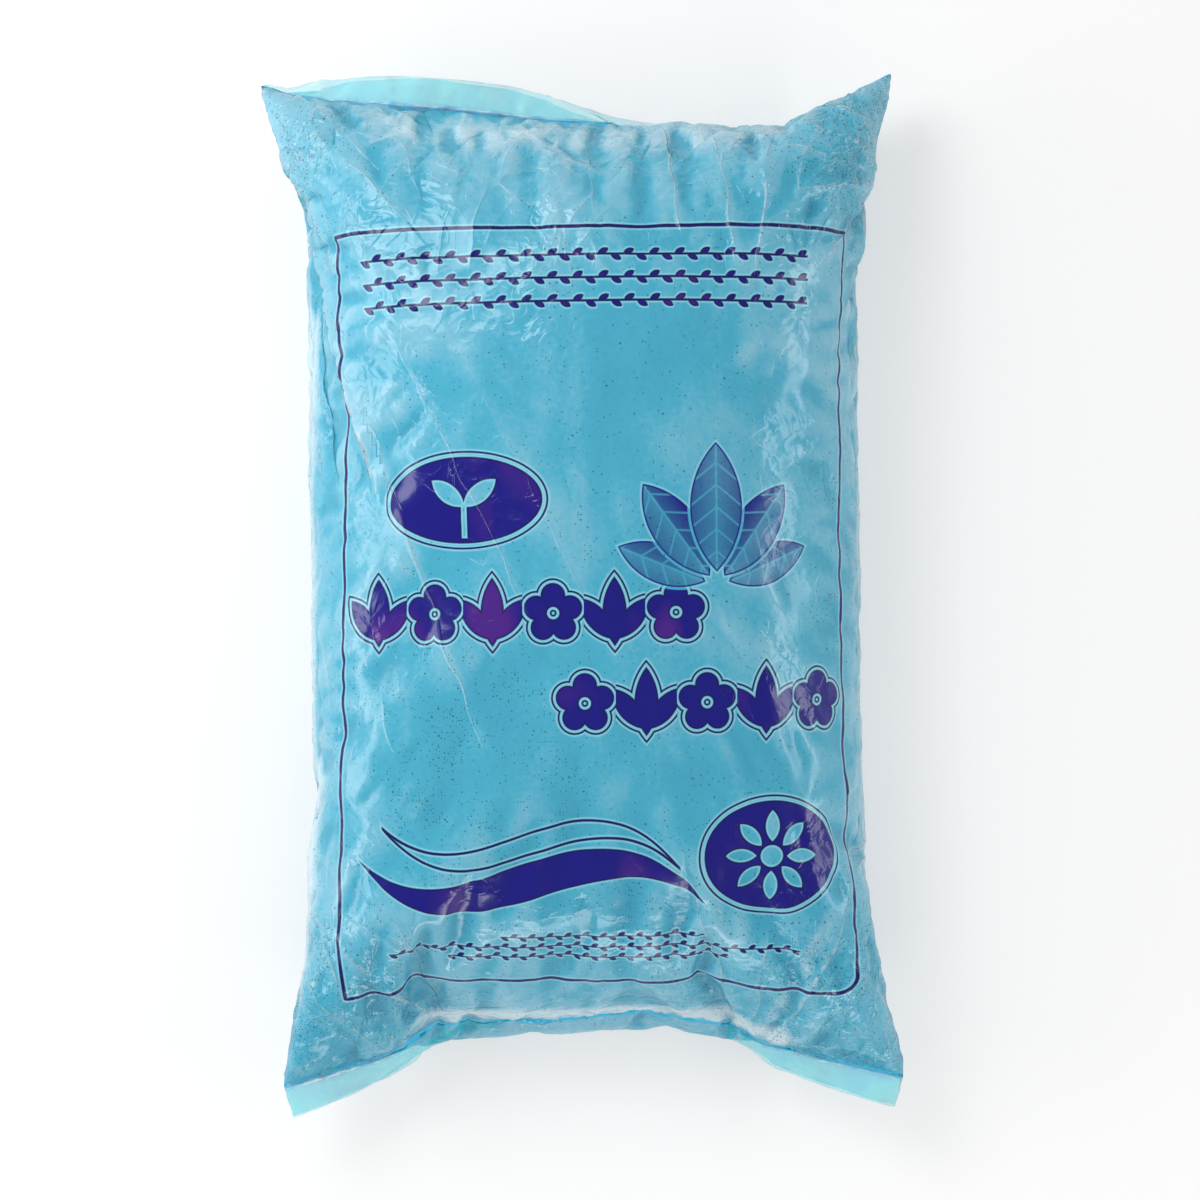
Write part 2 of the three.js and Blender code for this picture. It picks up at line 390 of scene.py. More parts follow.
def pull(first, second, rest, grip=1.0):
    """Moves two rows of points towards their rest distance."""
    apart = second - first
    length = np.sqrt(np.einsum("...i,...i->...", apart, apart)) + REAL(1e-9)
    apart *= ((length - rest) / length * REAL(0.5 * grip))[..., None]
    first += apart
    second -= apart


def unit(vectors):
    """The directions of vectors."""
    return vectors / (np.linalg.norm(vectors, axis=-1, keepdims=True) + REAL(1e-12))


def apart_from(aside, ahead, run):
    """How far places lie from a stretch that starts at the origin, and the share of it that is nearest."""
    share = np.clip((aside * run[0] + ahead * run[1]) / (run @ run), 0, 1)
    return np.hypot(aside - share * run[0], ahead - share * run[1]), share


class FilmNoise:
    """Waves of many lengths and directions over the film, which close round the tube. stretch makes them
    longer across the tube than along it."""

    WAVES = 48

    def __init__(self, random, girth, shortest, longest, stretch=1.0):
        self.waves = []
        for _ in range(self.WAVES):
            length = math.exp(random.uniform(math.log(shortest), math.log(longest)))
            heading = random.uniform(0, 2 * math.pi)
            turns = round(girth * math.cos(heading) / (length * stretch))
            self.waves.append((turns / girth, math.sin(heading) / length, random.uniform(0, 2 * math.pi)))

    def __call__(self, ring, along):
        total = np.zeros(np.broadcast(ring, along).shape, REAL)
        for across, lengthwise, phase in self.waves:
            total += np.cos(2 * math.pi * (across * ring + lengthwise * along) + phase).astype(REAL)
        return total * REAL(math.sqrt(2 / self.WAVES))


class FilmTube:
    """A filled tube of film as rings of points. Each ring starts at the left folded edge, crosses the
    front to the right edge and comes back underneath. Rows run from the cut end of the bottom selvage
    to that of the top one."""

    def __init__(self, size):
        self.size = size
        self.width = size.flat_width
        self.length = size.seal_to_seal
        self.random = np.random.default_rng(SEED)
        girth = 2 * self.width
        self.lump_noise = FilmNoise(self.random, girth, LUMP_SHORTEST, LUMP_LONGEST)
        self.slack_noise = [FilmNoise(self.random, girth, SLACK_SHORTEST, SLACK_LONGEST) for _ in range(2)]
        self.fold_noise = FilmNoise(self.random, girth, SLACK_SHORTEST, SLACK_LONGEST, FOLD_STRETCH)
        self.crinkle_noise = [FilmNoise(self.random, girth, *sizes) for sizes in CRINKLE_SIZES]
        self.across_cells = CELLS_ACROSS
        cell = self.width / self.across_cells
        self.body_cells = round(self.length / cell)
        self.top_cells = max(1, round(size.top_selvage / cell))
        self.bottom_cells = max(1, round(size.bottom_selvage / cell))
        self.measure()
        self.lay_flat()
        self.set_fields()
        self.weld()
        self.before = self.points.copy()

    def measure(self):
        """The grid's steps, rows and film coordinates."""
        self.step_across = REAL(self.width / self.across_cells)
        self.step_along = REAL(self.length / self.body_cells)
        self.count = 2 * self.across_cells
        self.bottom_seal = self.bottom_cells
        self.top_seal = self.bottom_cells + self.body_cells
        self.rows = self.top_seal + self.top_cells + 1
        self.along = ((np.arange(self.rows) - self.bottom_seal) * self.step_along).astype(REAL)
        places = np.arange(self.count)
        self.ring = (places * self.step_across).astype(REAL)
        self.opposite = (-places) % self.count
        self.is_front = places <= self.across_cells
        self.across = np.where(self.is_front, places, self.count - places) * self.step_across
        self.filled = slice(self.bottom_seal + 1, self.top_seal)

    def lay_flat(self):
        """The tube as it comes off its reel, a little above the floor."""
        places = np.arange(self.count)
        side = np.where((places == 0) | (places == self.across_cells), 0, np.where(self.is_front, 1, -1))
        points = np.zeros((self.rows, self.count, 3), REAL)
        points[..., 0] = self.across - self.width / 2
        points[..., 1] = (self.along - self.length / 2)[:, None]
        points[..., 2] = self.size.lay_height + MM * side
        points[..., 2] += UNEVENNESS * self.random.standard_normal(points.shape[:2])
        self.points = points

    def crumple(self):
        """How crumpled the film is at each point: most under the top seal, then at the bottom and the
        sides."""
        along = self.along[:, None]
        side = np.minimum(self.across, self.width - self.across)[None, :]
        top = np.exp(-(self.length - along) / TOP_REACH)
        bottom = SLACK_AT_BOTTOM * np.exp(-along / BOTTOM_REACH)
        sides = SLACK_AT_SIDES * np.exp(-side / SIDE_REACH)
        return np.clip(SLACK_IN_MIDDLE + top + bottom + sides, 0, SLACK_MOST), np.clip(top, 0, 1)

    def set_fields(self):
        """Rest lengths, local pressure and the set of the selvages on the present grid."""
        ring, along = self.ring[None, :], self.along[:, None]
        crumple, top = self.crumple()
        round_noise = self.slack_noise[0](ring, along)
        long_noise = self.slack_noise[1](ring, along) * (1 - top) + self.fold_noise(ring, along) * top
        self.rest_across = (self.step_across * (1 + SLACK * crumple * round_noise)).astype(REAL)
        self.rest_along = (self.step_along * (1 + SLACK * crumple * long_noise)).astype(REAL)
        for away in self.from_seals():
            self.rest_across *= (1 - SEAL_SHRINK * np.exp(-away / SEAL_REACH))[:, None].astype(REAL)
        self.rest_slant = np.sqrt(self.rest_across**2 + self.rest_along**2)
        push = LUMP_STRENGTH * self.lump_noise(ring, along) * np.where(self.is_front, 1, LUMPS_UNDERNEATH)
        for *places, width, depth in CREASES:
            push = push - self.crease_push(*self.stretch(*places), width, depth)
        self.push = push.astype(REAL)
        self.set_selvages()

    def from_seals(self):
        """How far each row lies from the bottom seal, and from the top one."""
        rows = np.arange(self.rows)
        return [np.abs(rows - seal) * self.step_along for seal in (self.bottom_seal, self.top_seal)]

    def stretch(self, from_across, from_along, to_across, to_along):
        """A start and a run in metres, from shares of the flat width and length."""
        start = np.array([from_across * self.width, from_along * self.length])
        return start, np.array([to_across * self.width, to_along * self.length]) - start

    def crease_push(self, start, run, width, depth):
        """The inward push of one crease on the front."""
        apart, share = apart_from(self.across[None, :] - start[0], self.along[:, None] - start[1], run)
        fade = np.sqrt(np.sin(math.pi * np.clip(CREASE_FADE[0] + CREASE_FADE[1] * share, 0, 1)))
        return np.where(self.is_front[None, :], depth * np.exp(-((apart / width) ** 2)) * fade, 0)

    def set_selvages(self):
        """The direction in which each loose ply wants to lie."""
        place = self.across / self.width * 2 - 1
        rise = np.exp(-(((place - TOP_SET["centre"]) / TOP_SET["spread"]) ** 2))
        top = TOP_SET["flat"] - np.where(self.is_front, TOP_SET["front_rise"], TOP_SET["back_rise"]) * rise
        tuck = BOTTOM_SET["tuck"] * np.exp(-((place / BOTTOM_SET["spread"]) ** 4))
        bottom = np.where(self.is_front, BOTTOM_SET["front"], BOTTOM_SET["back"]) + tuck
        self.selvage_set = np.zeros((self.rows, self.count, 3), REAL)
        self.selvage_set[self.top_seal + 1:, :, 1] = np.cos(top)
        self.selvage_set[self.top_seal + 1:, :, 2] = -np.sin(top)
        self.selvage_set[:self.bottom_seal, :, 1] = -np.cos(bottom)
        self.selvage_set[:self.bottom_seal, :, 2] = -np.sin(bottom)

    def refine(self):
        """Doubles the grid, with new points on smooth curves through the old ones."""
        old = self.points
        wide = np.zeros((self.rows, 2 * self.count, 3), REAL)
        wide[:, 0::2] = old
        wide[:, 1::2] = (9 * (old + np.roll(old, -1, 1)) - np.roll(old, 1, 1) - np.roll(old, -2, 1)) / 16
        fine = np.zeros((2 * self.rows - 1, 2 * self.count, 3), REAL)
        fine[0::2] = wide
        between = (wide[:-1] + wide[1:]) / 2
        low, high = self.bottom_seal, self.top_seal
        inner = wide[low:high + 1]
        between[low + 1:high - 1] = (9 * (inner[1:-2] + inner[2:-1]) - inner[:-3] - inner[3:]) / 16
        fine[1::2] = between
        self.points = fine
        for name in ("across_cells", "body_cells", "top_cells", "bottom_cells"):
            setattr(self, name, 2 * getattr(self, name))
        self.measure()
        self.set_fields()
        self.points += self.random.standard_normal(fine.shape).astype(REAL) * REAL(SHAKE) * self.step_across
        self.weld()
        self.before = self.points.copy()

    def weld(self):
        """Joins the front and the back sheet along each seal."""
        for row in (self.bottom_seal, self.top_seal):
            self.points[row] = REAL(0.5) * (self.points[row] + self.points[row, self.opposite])

    def normals(self):
        """Outward normals, four times as long as the area of their cell."""
        points = self.points
        across = np.roll(points, -1, 1) - np.roll(points, 1, 1)
        along = np.empty_like(points)
        along[1:-1] = points[2:] - points[:-2]
        along[0] = points[1] - points[0]
        along[-1] = points[-1] - points[-2]
        return np.cross(across, along)

    def hold_lengths(self):
        """One pass over every thread of the film, in alternate cells."""
        points, across, along, slant = self.points, self.rest_across, self.rest_along, self.rest_slant
        pull(points[:, 0::2], points[:, 1::2], across[:, 0::2])
        pull(points[:, 1:-1:2], points[:, 2::2], across[:, 1:-1:2])
        pull(points[:, -1], points[:, 0], across[:, -1])
        for start in (0, 1):
            pairs = (self.rows - start) // 2
            near, far = points[start:start + 2 * pairs:2], points[start + 1:start + 2 * pairs:2]
            pull(near, far, along[start:start + 2 * pairs:2])
            rest = slant[start:start + 2 * pairs:2]
            pull(near[:, :-1], far[:, 1:], rest[:, :-1], SHEAR_GRIP)
            pull(near[:, -1], far[:, 0], rest[:, -1], SHEAR_GRIP)
            pull(near[:, 1:], far[:, :-1], rest[:, :-1], SHEAR_GRIP)
            pull(near[:, 0], far[:, -1], rest[:, -1], SHEAR_GRIP)

    def bending(self):
        """The film's resistance to bending, which the seals don't pass on."""
        points = self.points
        curl = np.roll(points, -1, 1) + np.roll(points, 1, 1) - 2 * points
        curl = np.roll(curl, -1, 1) + np.roll(curl, 1, 1) - 2 * curl
        lengthwise = points[2:] + points[:-2] - 2 * points[1:-1]
        curl[2:-2] += lengthwise[2:] + lengthwise[:-2] - 2 * lengthwise[1:-1]
        for seal in (self.bottom_seal, self.top_seal):
            curl[seal - 1:seal + 2] = 0
        return curl

    def pressure(self, normals):
        """The push of the fill, raised or lowered until the sack holds its volume. That is a third of the
        sum of points by cell areas, and the normals are four times too long."""
        inside = self.points[self.filled]
        volume = float(np.einsum("rij,rij->", inside, normals[self.filled], dtype=np.float64)) / (3 * 4)
        goal = self.size.fill_volume
        control = np.clip((goal - volume) / goal / VOLUME_GRIP, -PRESSURE_MOST, PRESSURE_MOST)
        weight = FILL_GRADIENT * (0.5 - inside[..., 2] / FILL_DEPTH)
        weight = weight - FILL_TILT * inside[..., 1] / FILL_HALF_LENGTH
        return control + weight + self.push[self.filled]

    def keep_edges(self):
        """The folded edges of the tube spring back to their crease."""
        reach = REAL(2 * self.step_across * math.sin(math.radians(EDGE_ANGLE) / 2))
        for edge in (0, self.across_cells):
            before = self.points[self.filled, edge - 1]
            after = self.points[self.filled, (edge + 1) % self.count]
            pull(before, after, reach, EDGE_CREASE)

    def part_plies(self, normals):
        """The two plies of a selvage lie on each other and don't pass through."""
        front = slice(1, self.across_cells)
        back = self.opposite[front]
        for rows in (slice(0, self.bottom_seal), slice(self.top_seal + 1, self.rows)):
            facing = unit(normals[rows, front] - normals[rows, back])
            gap = np.einsum("...i,...i->...", self.points[rows, front] - self.points[rows, back], facing)
            push = facing * (np.maximum(REAL(PLY_GAP) - gap, 0) * REAL(0.5))[..., None]
            self.points[rows, front] += push
            self.points[rows, back] -= push

    def rest_on_floor(self):
        """Nothing goes under the floor, which grips what lies on it."""
        low = (self.points[..., 2] < 0)[..., None]
        self.points[..., 2] = np.maximum(self.points[..., 2], 0)
        held = self.points[..., :2] * REAL(1 - FLOOR_GRIP) + self.before[..., :2] * REAL(FLOOR_GRIP)
        self.points[..., :2] = np.where(low, held, self.points[..., :2])

    def centre(self):
        plan = self.points[..., :2]
        middle = (plan.max((0, 1)) + plan.min((0, 1))) / 2
        self.points[..., :2] -= middle
        self.before[..., :2] -= middle

    def settle(self, steps):
        """Lets the filled tube come to rest."""
        step = PRESSURE_STEP * CELLS_ACROSS / self.across_cells
        area = 4 * self.step_across * self.step_along
        for turn in range(steps):
            speed = (self.points - self.before) * REAL(DAMPING)
            self.before = self.points.copy()
            normals = self.normals()
            force = self.bending() * REAL(-STIFFNESS)
            force[self.filled] += normals[self.filled] * (
                self.pressure(normals) * REAL(step * self.step_across / area)
            )[..., None]
            force += self.selvage_set * REAL(step * self.step_across)
            self.points = self.points + speed + force
            self.hold_lengths()
            self.keep_edges()
            self.weld()
            self.part_plies(normals)
            self.rest_on_floor()
            if turn % CENTRE_EVERY == 0:
                self.centre()

    def straighten(self):
        """Turns the sack in plan until it lies along Y."""
        corners = [0, self.across_cells]
        ends = [self.points[row, corners, :2].mean(0) for row in (self.bottom_seal, self.top_seal)]
        run = ends[1] - ends[0]
        turn = math.atan2(run[0], run[1]) + math.radians(self.size.lean)
        cosine, sine = REAL(math.cos(turn)), REAL(math.sin(turn))
        x, y = self.points[..., 0].copy(), self.points[..., 1].copy()
        self.points[..., 0] = x * cosine - y * sine
        self.points[..., 1] = x * sine + y * cosine
        self.centre()

    def crest(self, start, end, bow, height, left, right):
        """Adds one sharp crest between two places on the tube, in metres, with a flank on either side.
        What is finer than the grid is kept too: how far each point lies from the line of a crest. A
        larger crest is kept before a smaller one that is nearer."""
        run = np.subtract(end, start)
        reach = math.hypot(*run)
        heading = run / reach
        low, high = sorted((start[1], end[1]))
        rows = slice(*np.searchsorted(self.along, (low - CREST_WINDOW, high + CREST_WINDOW)))
        aside = (self.ring[None, :] - start[0] + self.width) % (2 * self.width) - self.width
        ahead = self.along[rows, None] - start[1]
        share = (aside * heading[0] + ahead * heading[1]) / reach
        inside = np.clip(share, 0, 1)
        offset = ahead * heading[0] - aside * heading[1] - bow * 4 * inside * (1 - inside)
        past = (share - inside) * reach
        away = np.hypot(offset, past)
        fade = height * np.sqrt(np.sin(math.pi * np.clip(CREST_FADE[0] + CREST_FADE[1] * inside, 0, 1)))
        self.rise[rows] += fade * np.exp(-away / np.where(offset > 0, left, right))
        rank = away / abs(height)
        nearer = rank < self.crest_rank[rows]
        self.crest_rank[rows] = np.where(nearer, rank, self.crest_rank[rows])
        self.crest_side[rows] = np.where(nearer, offset, self.crest_side[rows])
        # the crest's line, which the materials raise as a bump and also paint as a pale highlight
        line = np.clip(fade / CREST_FULL, -1, 1) * np.exp(-((away / CREST_CLOSE) ** 2))
        self.crest_line[rows] = np.where(nearer, line, self.crest_line[rows])

    def add_crests(self):
        """Raises the sharp crests and the scattered small ones. Near a seal they fade out."""
        random = np.random.default_rng(CRUMPLE_SEED)
        shape = self.points.shape[:2]
        self.rise, self.crest_side, self.crest_line = (np.zeros(shape, REAL) for _ in range(3))
        self.crest_rank = np.full(shape, np.inf, REAL)
        for from_across, from_along, to_across, to_along, *form in CRESTS:
            start = (from_across * self.width, from_along * self.length)
            end = (to_across * self.width, to_along * self.length)
            self.crest(start, end, *form)
        for count, across, along, headings, lengths, height, flank in CRUMPLES:
            for _ in range(count):
                place = random.uniform(*across) * self.width, random.uniform(*along) * self.length
                start = np.array(place)
                heading = math.radians(random.uniform(*headings))
                end = start + random.uniform(*lengths) * np.array([math.cos(heading), math.sin(heading)])
                most = height * random.uniform(0.4, 1.0) * (-1 if random.random() < VALLEY_SHARE else 1)
                flanks = flank * random.uniform(0.6, 1.4, 2)
                self.crest(start, end, 0, most, *flanks)
        for away in self.from_seals():
            self.rise *= np.clip(away / CREST_SEAL_REACH, 0, 1)[:, None]
        self.rise[:self.bottom_seal] = 0
        self.rise[self.top_seal:] = 0
        normals = unit(self.normals())
        self.points += (normals * self.rise[..., None]).astype(REAL)
        self.points[..., 2] = np.maximum(self.points[..., 2], 0)

    def add_crinkles(self):
        """Raises fine crinkles on the settled film, and notes how far it stands proud of its own smoothed
        level or sinks below it, which the materials paint paler and deeper: partly film lifted off the fill,
        partly painted light and shade.
        """
        normals = unit(self.normals())
        ring, along = self.ring[None, :], self.along[:, None]
        crumple, _ = self.crumple()
        height = np.zeros(self.points.shape[:2], REAL)
        for noise, share in zip(self.crinkle_noise, CRINKLE_SHARES):
            height += REAL(share) * (REAL(0.5) - np.minimum(np.abs(noise(ring, along)), 1))
        for away in self.from_seals():
            height *= np.clip(away / SEAL_REACH, 0, 1)[:, None]
        self.points += normals * (CRINKLE_HEIGHT * crumple * height)[..., None].astype(REAL)
        level = smooth_steps(self.points, LIFT_SPREAD**2)
        proud = np.einsum("...i,...i->...", self.points - level, normals)
        # painted light and shade of the relief, with film off the fill: proud film paler, sunk film deeper
        self.lift = np.clip(proud / LIFT_SCALE, -1, 1)
        self.points[..., 2] = np.maximum(self.points[..., 2], 0)


def settle_film(size):
    """The film of a filled and sealed sack, at rest."""
    film = FilmTube(size)
    levels = len(SETTLING)
    for level, steps in enumerate(SETTLING[:levels]):
        if level:
            film.refine()
        film.settle(steps)
    film.straighten()
    film.add_crests()
    film.add_crinkles()
    film.points += np.array([CAD_MIDDLE.x, CAD_MIDDLE.y, CAD_LOW.z], REAL)
    return film


def map_film(film, rows):
    """What the materials read at each point of whole rows: its place on the film in millimetres with the
    face, how it is lifted and creased, which the materials paint as light and shade, where a pale sheen is
    painted on it, and how much soil lies against it."""
    shape = (len(rows), film.count)
    across = np.broadcast_to(film.across[None, :], shape)
    along = np.broadcast_to(film.along[rows, None], shape)
    face = np.broadcast_to(np.where(film.is_front, 1.0, -1.0)[None, :], shape)
    printed = np.stack([(across - film.width / 2) / MM, (along - film.length / 2) / MM, face], -1)
    soil = np.zeros(shape)
    for across_share, along_share, reach, amount in SOIL_PLACES:
        apart = np.hypot(across - across_share * film.width, along - along_share * film.length)
        soil = np.maximum(soil, amount * np.exp(-((apart / reach) ** 2)))
    ring = (film.ring[None, :] + film.width / 2) % (2 * film.width) - film.width / 2
    # a pale sheen painted along the bottom, the sides and under the top seal, where loose film catches the
    # light
    painted_sheen = np.zeros(shape)
    for *places, reach, amount in PAINTED_SHEEN_PLACES:
        start, run = film.stretch(*places)
        apart, _ = apart_from(ring - start[0], film.along[rows, None] - start[1], run)
        painted_sheen = np.maximum(painted_sheen, amount * np.exp(-((apart / reach) ** 2)))
    return {
        "print_place": printed,
        "lift": film.lift[rows],
        "slack": film.crumple()[0][rows],
        "soil": soil,
        "painted_sheen": painted_sheen,
        "crest_side": film.crest_side[rows] / MM,
        "crest_line": film.crest_line[rows],
    }


def add_piece(name, points, faces, values, material):
    """A mesh with its film coordinates, which stands for the CAD's plain sack and rides on its body."""
    mesh = bpy.data.meshes.new(name)
    mesh.from_pydata(points.tolist(), [], faces)
    mesh.shade_smooth()
    for label, value in values.items():
        flat = np.asarray(value, REAL).reshape(len(points), -1)
        kind, field = ("FLOAT_VECTOR", "vector") if flat.shape[1] == 3 else ("FLOAT", "value")
        mesh.attributes.new(label, kind, "POINT").data.foreach_set(field, flat.ravel())
    mesh.materials.append(material)
    piece = bpy.data.objects.new(name, mesh)
    bpy.context.scene.collection.objects.link(piece)
    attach(piece, BODY)
    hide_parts(NODE)
    return piece


def sharpen_seals(mesh, lines):
    """Keeps the shading from running over each fused line, which is one row of points."""
    ends = np.zeros(2 * len(mesh.edges), np.int32)
    mesh.edges.foreach_get("vertices", ends)
    sharp = np.isin(ends, lines).reshape(-1, 2).all(1)
    mesh.attributes.new("sharp_edge", "BOOLEAN", "EDGE").data.foreach_set("value", sharp)


def add_bake_map(piece, places):
    """A flat map of the film, one place for each corner of each face."""
    layer = piece.data.uv_layers.new(name=BAKE_MAP)
    layer.data.foreach_set("uv", np.asarray(places, REAL).ravel())


def make_body(film, printed, plain):
    """The filled sack between its seals, closed along both of them."""
    rows = np.arange(film.bottom_seal, film.top_seal + 1)
    grid = np.arange(len(rows) * film.count).reshape(len(rows), film.count)
    under = np.arange(film.across_cells + 1, film.count)
    for row in (0, -1):
        grid[row, under] = grid[row, film.opposite[under]]
    right = np.roll(grid, -1, 1)
    quads = np.stack([grid[:-1], right[:-1], right[1:], grid[1:]], -1).reshape(-1, 4)
    used, renumbered = np.unique(quads, return_inverse=True)
    points = film.points[rows].reshape(-1, 3)[used]
    mapped = map_film(film, rows).items()
    values = {label: value.reshape(len(rows) * film.count, -1)[used] for label, value in mapped}
    body = add_piece("sack_body", points, renumbered.reshape(-1, 4).tolist(), values, printed)
    body.data.materials.append(plain)
    share_out_print(film, rows, body.data)
    sharpen_seals(body.data, np.searchsorted(used, np.unique(grid[[0, -1]])))
    add_bake_map(body, body_bake_places(film, len(rows)))
    return body


def near_print(x, y, layout):
    """Whether places on the front, in millimetres of film, lie on the print or close beside it."""
    frame, title, root = layout["border"], layout["title"], layout["spray"]
    over_x = np.maximum(frame["left"] - x, x - frame["right"])
    over_y = np.maximum(frame["bottom"] - y, y - frame["top"])
    near = abs(np.maximum(over_x, over_y)) < PRINT_MARGIN
    for rows in layout["garlands"]:
        reach = rows["pitch"] * (1 + max(*rows["before"], *rows["after"]))
        near |= (abs(x) < reach) & (abs(y - rows["y"]) < rows["spacing"] + rows["pitch"])
    for lower in (0, 1):
        start = title["start"] + lower * title["shift"] - PRINT_MARGIN
        end = start + title["pitch"] * (title["count"] - lower) + 2 * PRINT_MARGIN
        along_row = (x > start) & (x < end)
        near |= along_row & (abs(y - title["y"] + lower * title["drop"]) < title["size"] / 2 + PRINT_MARGIN)
    for badge_place in (layout["top_badge"], layout["low_badge"]):
        aside = (x - badge_place["x"]) / (badge_place["half_width"] + PRINT_MARGIN)
        above = (y - badge_place["y"]) / (badge_place["half_height"] + PRINT_MARGIN)
        near |= np.hypot(aside, above) < 1
    for swoosh in (layout["open_ribbon"], layout["full_ribbon"]):
        start_x, end_x = swoosh["start"][0], swoosh["end"][0]
        arch, _, middle = ribbon_course(np.clip((x - start_x) / (end_x - start_x), 0, 1), swoosh)
        beside = np.maximum(start_x - x, x - end_x) < PRINT_MARGIN
        # a ribbon slopes, so it takes a wider margin
        near |= beside & (abs(y - middle) < 2 * arch * swoosh["thickness"] + 1.5 * PRINT_MARGIN)
    reach = max(out + half_length for _, half_length, _, out, _ in root["leaves"]) + PRINT_MARGIN
    lowest = max(half_width for _, _, half_width, _, _ in root["leaves"]) + PRINT_MARGIN
    return near | (np.hypot(x - root["x"], y - root["y"]) < reach) & (y > root["y"] - lowest)


def share_out_print(film, rows, mesh):
    """Gives the faces on or beside the print the first material and all others the second."""
    columns, lines = np.meshgrid(np.arange(film.count), rows[:-1])
    x = (film.across[columns] - film.width / 2) / MM
    y = (film.along[lines] - film.length / 2) / MM
    bare = ~near_print(x, y, PRINT) | (columns >= film.across_cells)
    mesh.polygons.foreach_set("material_index", bare.ravel().astype(np.int32))


def body_bake_places(film, rows):
    """The front takes most of the bake map's width, and the back the rest."""
    columns, lines = np.meshgrid(np.arange(film.count), np.arange(rows - 1))
    corners = np.stack([columns, columns + 1, columns + 1, columns], -1)
    front = corners[..., :1] < film.across_cells
    share = corners / film.across_cells
    on_front, on_back = BAKE_FRONT[0] + share * BAKE_FRONT[1], BAKE_BACK[0] + (2 - share) * BAKE_BACK[1]
    across = np.where(front, on_front, on_back)
    along = np.stack([lines, lines, lines + 1, lines + 1], -1) / (rows - 1)
    return np.stack([across, BAKE_MARGIN + along * (1 - 2 * BAKE_MARGIN)], -1)


def make_selvage(film, name, seal, end, material):
    """The two loose plies beyond a seal: a cuff of film with an outer and an inner skin, closed at the
    seal."""
    outward = 1 if end > seal else -1
    rows = np.arange(seal, end + outward, outward)
    count, half = film.count, film.across_cells
    normals = unit(film.normals())
    outer = film.points[rows]
    inner = outer[1:] - normals[rows[1:]] * REAL(FILM_THICKNESS)
    outside = np.arange(len(rows) * count).reshape(len(rows), count)
    inside = len(rows) * count + np.arange(len(inner) * count).reshape(len(inner), count)
    under = np.arange(half + 1, count)
    outside[0, under] = outside[0, film.opposite[under]]
    faces = []

    def strip(first, second):
        """Quads between two rings of points."""
        for place in range(count):
            after = (place + 1) % count
            quad = [first[place], first[after], second[after], second[place]]
            faces.append(quad[::outward])

    for first, second in zip(outside[:-1], outside[1:]):
        strip(first, second)
    strip(outside[-1], inside[-1])
    for first, second in zip(inside[:0:-1], inside[-2::-1]):
        strip(first, second)
    for place in range(half):
        fold = [inside[0, column] for column in (place, place + 1, -place - 1, -place)]
        quad = list(dict.fromkeys(int(point) for point in fold))
        faces.append(quad[::outward])
    points = np.concatenate([outer.reshape(-1, 3), inner.reshape(-1, 3)])
    used, renumbered = np.unique([point for face in faces for point in face], return_inverse=True)
    numbers = iter(renumbered.ravel().tolist())
    faces = [[next(numbers) for _ in face] for face in faces]
    values = {}
    for label, value in map_film(film, rows).items():
        skins = value.reshape(len(rows) * count, -1), value[1:].reshape(len(inner) * count, -1)
        values[label] = np.concatenate(skins)[used]
    return add_piece(name, points[used], faces, values, material)


class Term:
    """A number in a node tree, to be written with ordinary arithmetic."""

    def __init__(self, tree, socket):
        self.tree = tree
        self.socket = socket

    def math(self, operation, *others, clamp=False):
        node = self.tree.nodes.new("ShaderNodeMath")
        node.operation = operation
        node.use_clamp = clamp
        for socket, value in zip(node.inputs, (self, *others)):
            feed(self.tree, value, socket)
        return Term(self.tree, node.outputs[0])

    def __add__(self, other):
        return self.math("ADD", other)

    def __sub__(self, other):
        return self.math("SUBTRACT", other)

    def __rsub__(self, other):
        return self.math("MULTIPLY", -1.0) + other

    def __mul__(self, other):
        return self.math("MULTIPLY", other)

    def __truediv__(self, other):
        return self.math("DIVIDE", other)

    def __neg__(self):
        return self.math("MULTIPLY", -1.0)

    def __abs__(self):
        return self.math("ABSOLUTE")

    __radd__ = __add__
    __rmul__ = __mul__

    def least(self, other):
        return self.math("MINIMUM", other)

    def most(self, other):
        return self.math("MAXIMUM", other)

    def root(self):
        return self.math("SQRT")

    def floor(self):
        return self.math("FLOOR")

    def clamp(self):
        return self.math("ADD", 0.0, clamp=True)

    def above(self, limit):
        return self.math("GREATER_THAN", limit)

    def toward(self, other, share):
        return self + (other - self) * share


def feed(tree, value, socket):
    """Sets a socket to a plain value, or links a term or another socket to it."""
    if isinstance(value, Term):
        tree.links.new(value.socket, socket)
    elif isinstance(value, bpy.types.NodeSocket):
        tree.links.new(value, socket)
    else:
        socket.default_value = value


def new_group(name, inputs, outputs):
    """An empty shader node group, with its inputs as terms and the node that takes its outputs."""
    tree = bpy.data.node_groups.new(name, "ShaderNodeTree")
    for label, kind, default in inputs:
        socket = tree.interface.new_socket(name=label, in_out="INPUT", socket_type=f"NodeSocket{kind}")
        socket.default_value = default
    for label, kind in outputs:
        tree.interface.new_socket(name=label, in_out="OUTPUT", socket_type=f"NodeSocket{kind}")
    entry = tree.nodes.new("NodeGroupInput")
    leave = tree.nodes.new("NodeGroupOutput")
    return tree, {socket.name: Term(tree, socket) for socket in entry.outputs if socket.name}, leave


def use_group(tree, group, values):
    """Places a node group with its own values, and gives its outputs as terms."""
    node = tree.nodes.new("ShaderNodeGroup")
    node.node_tree = group
    for label, value in values.items():
        feed(tree, value, node.inputs[label])
    return {socket.name: Term(tree, socket) for socket in node.outputs}


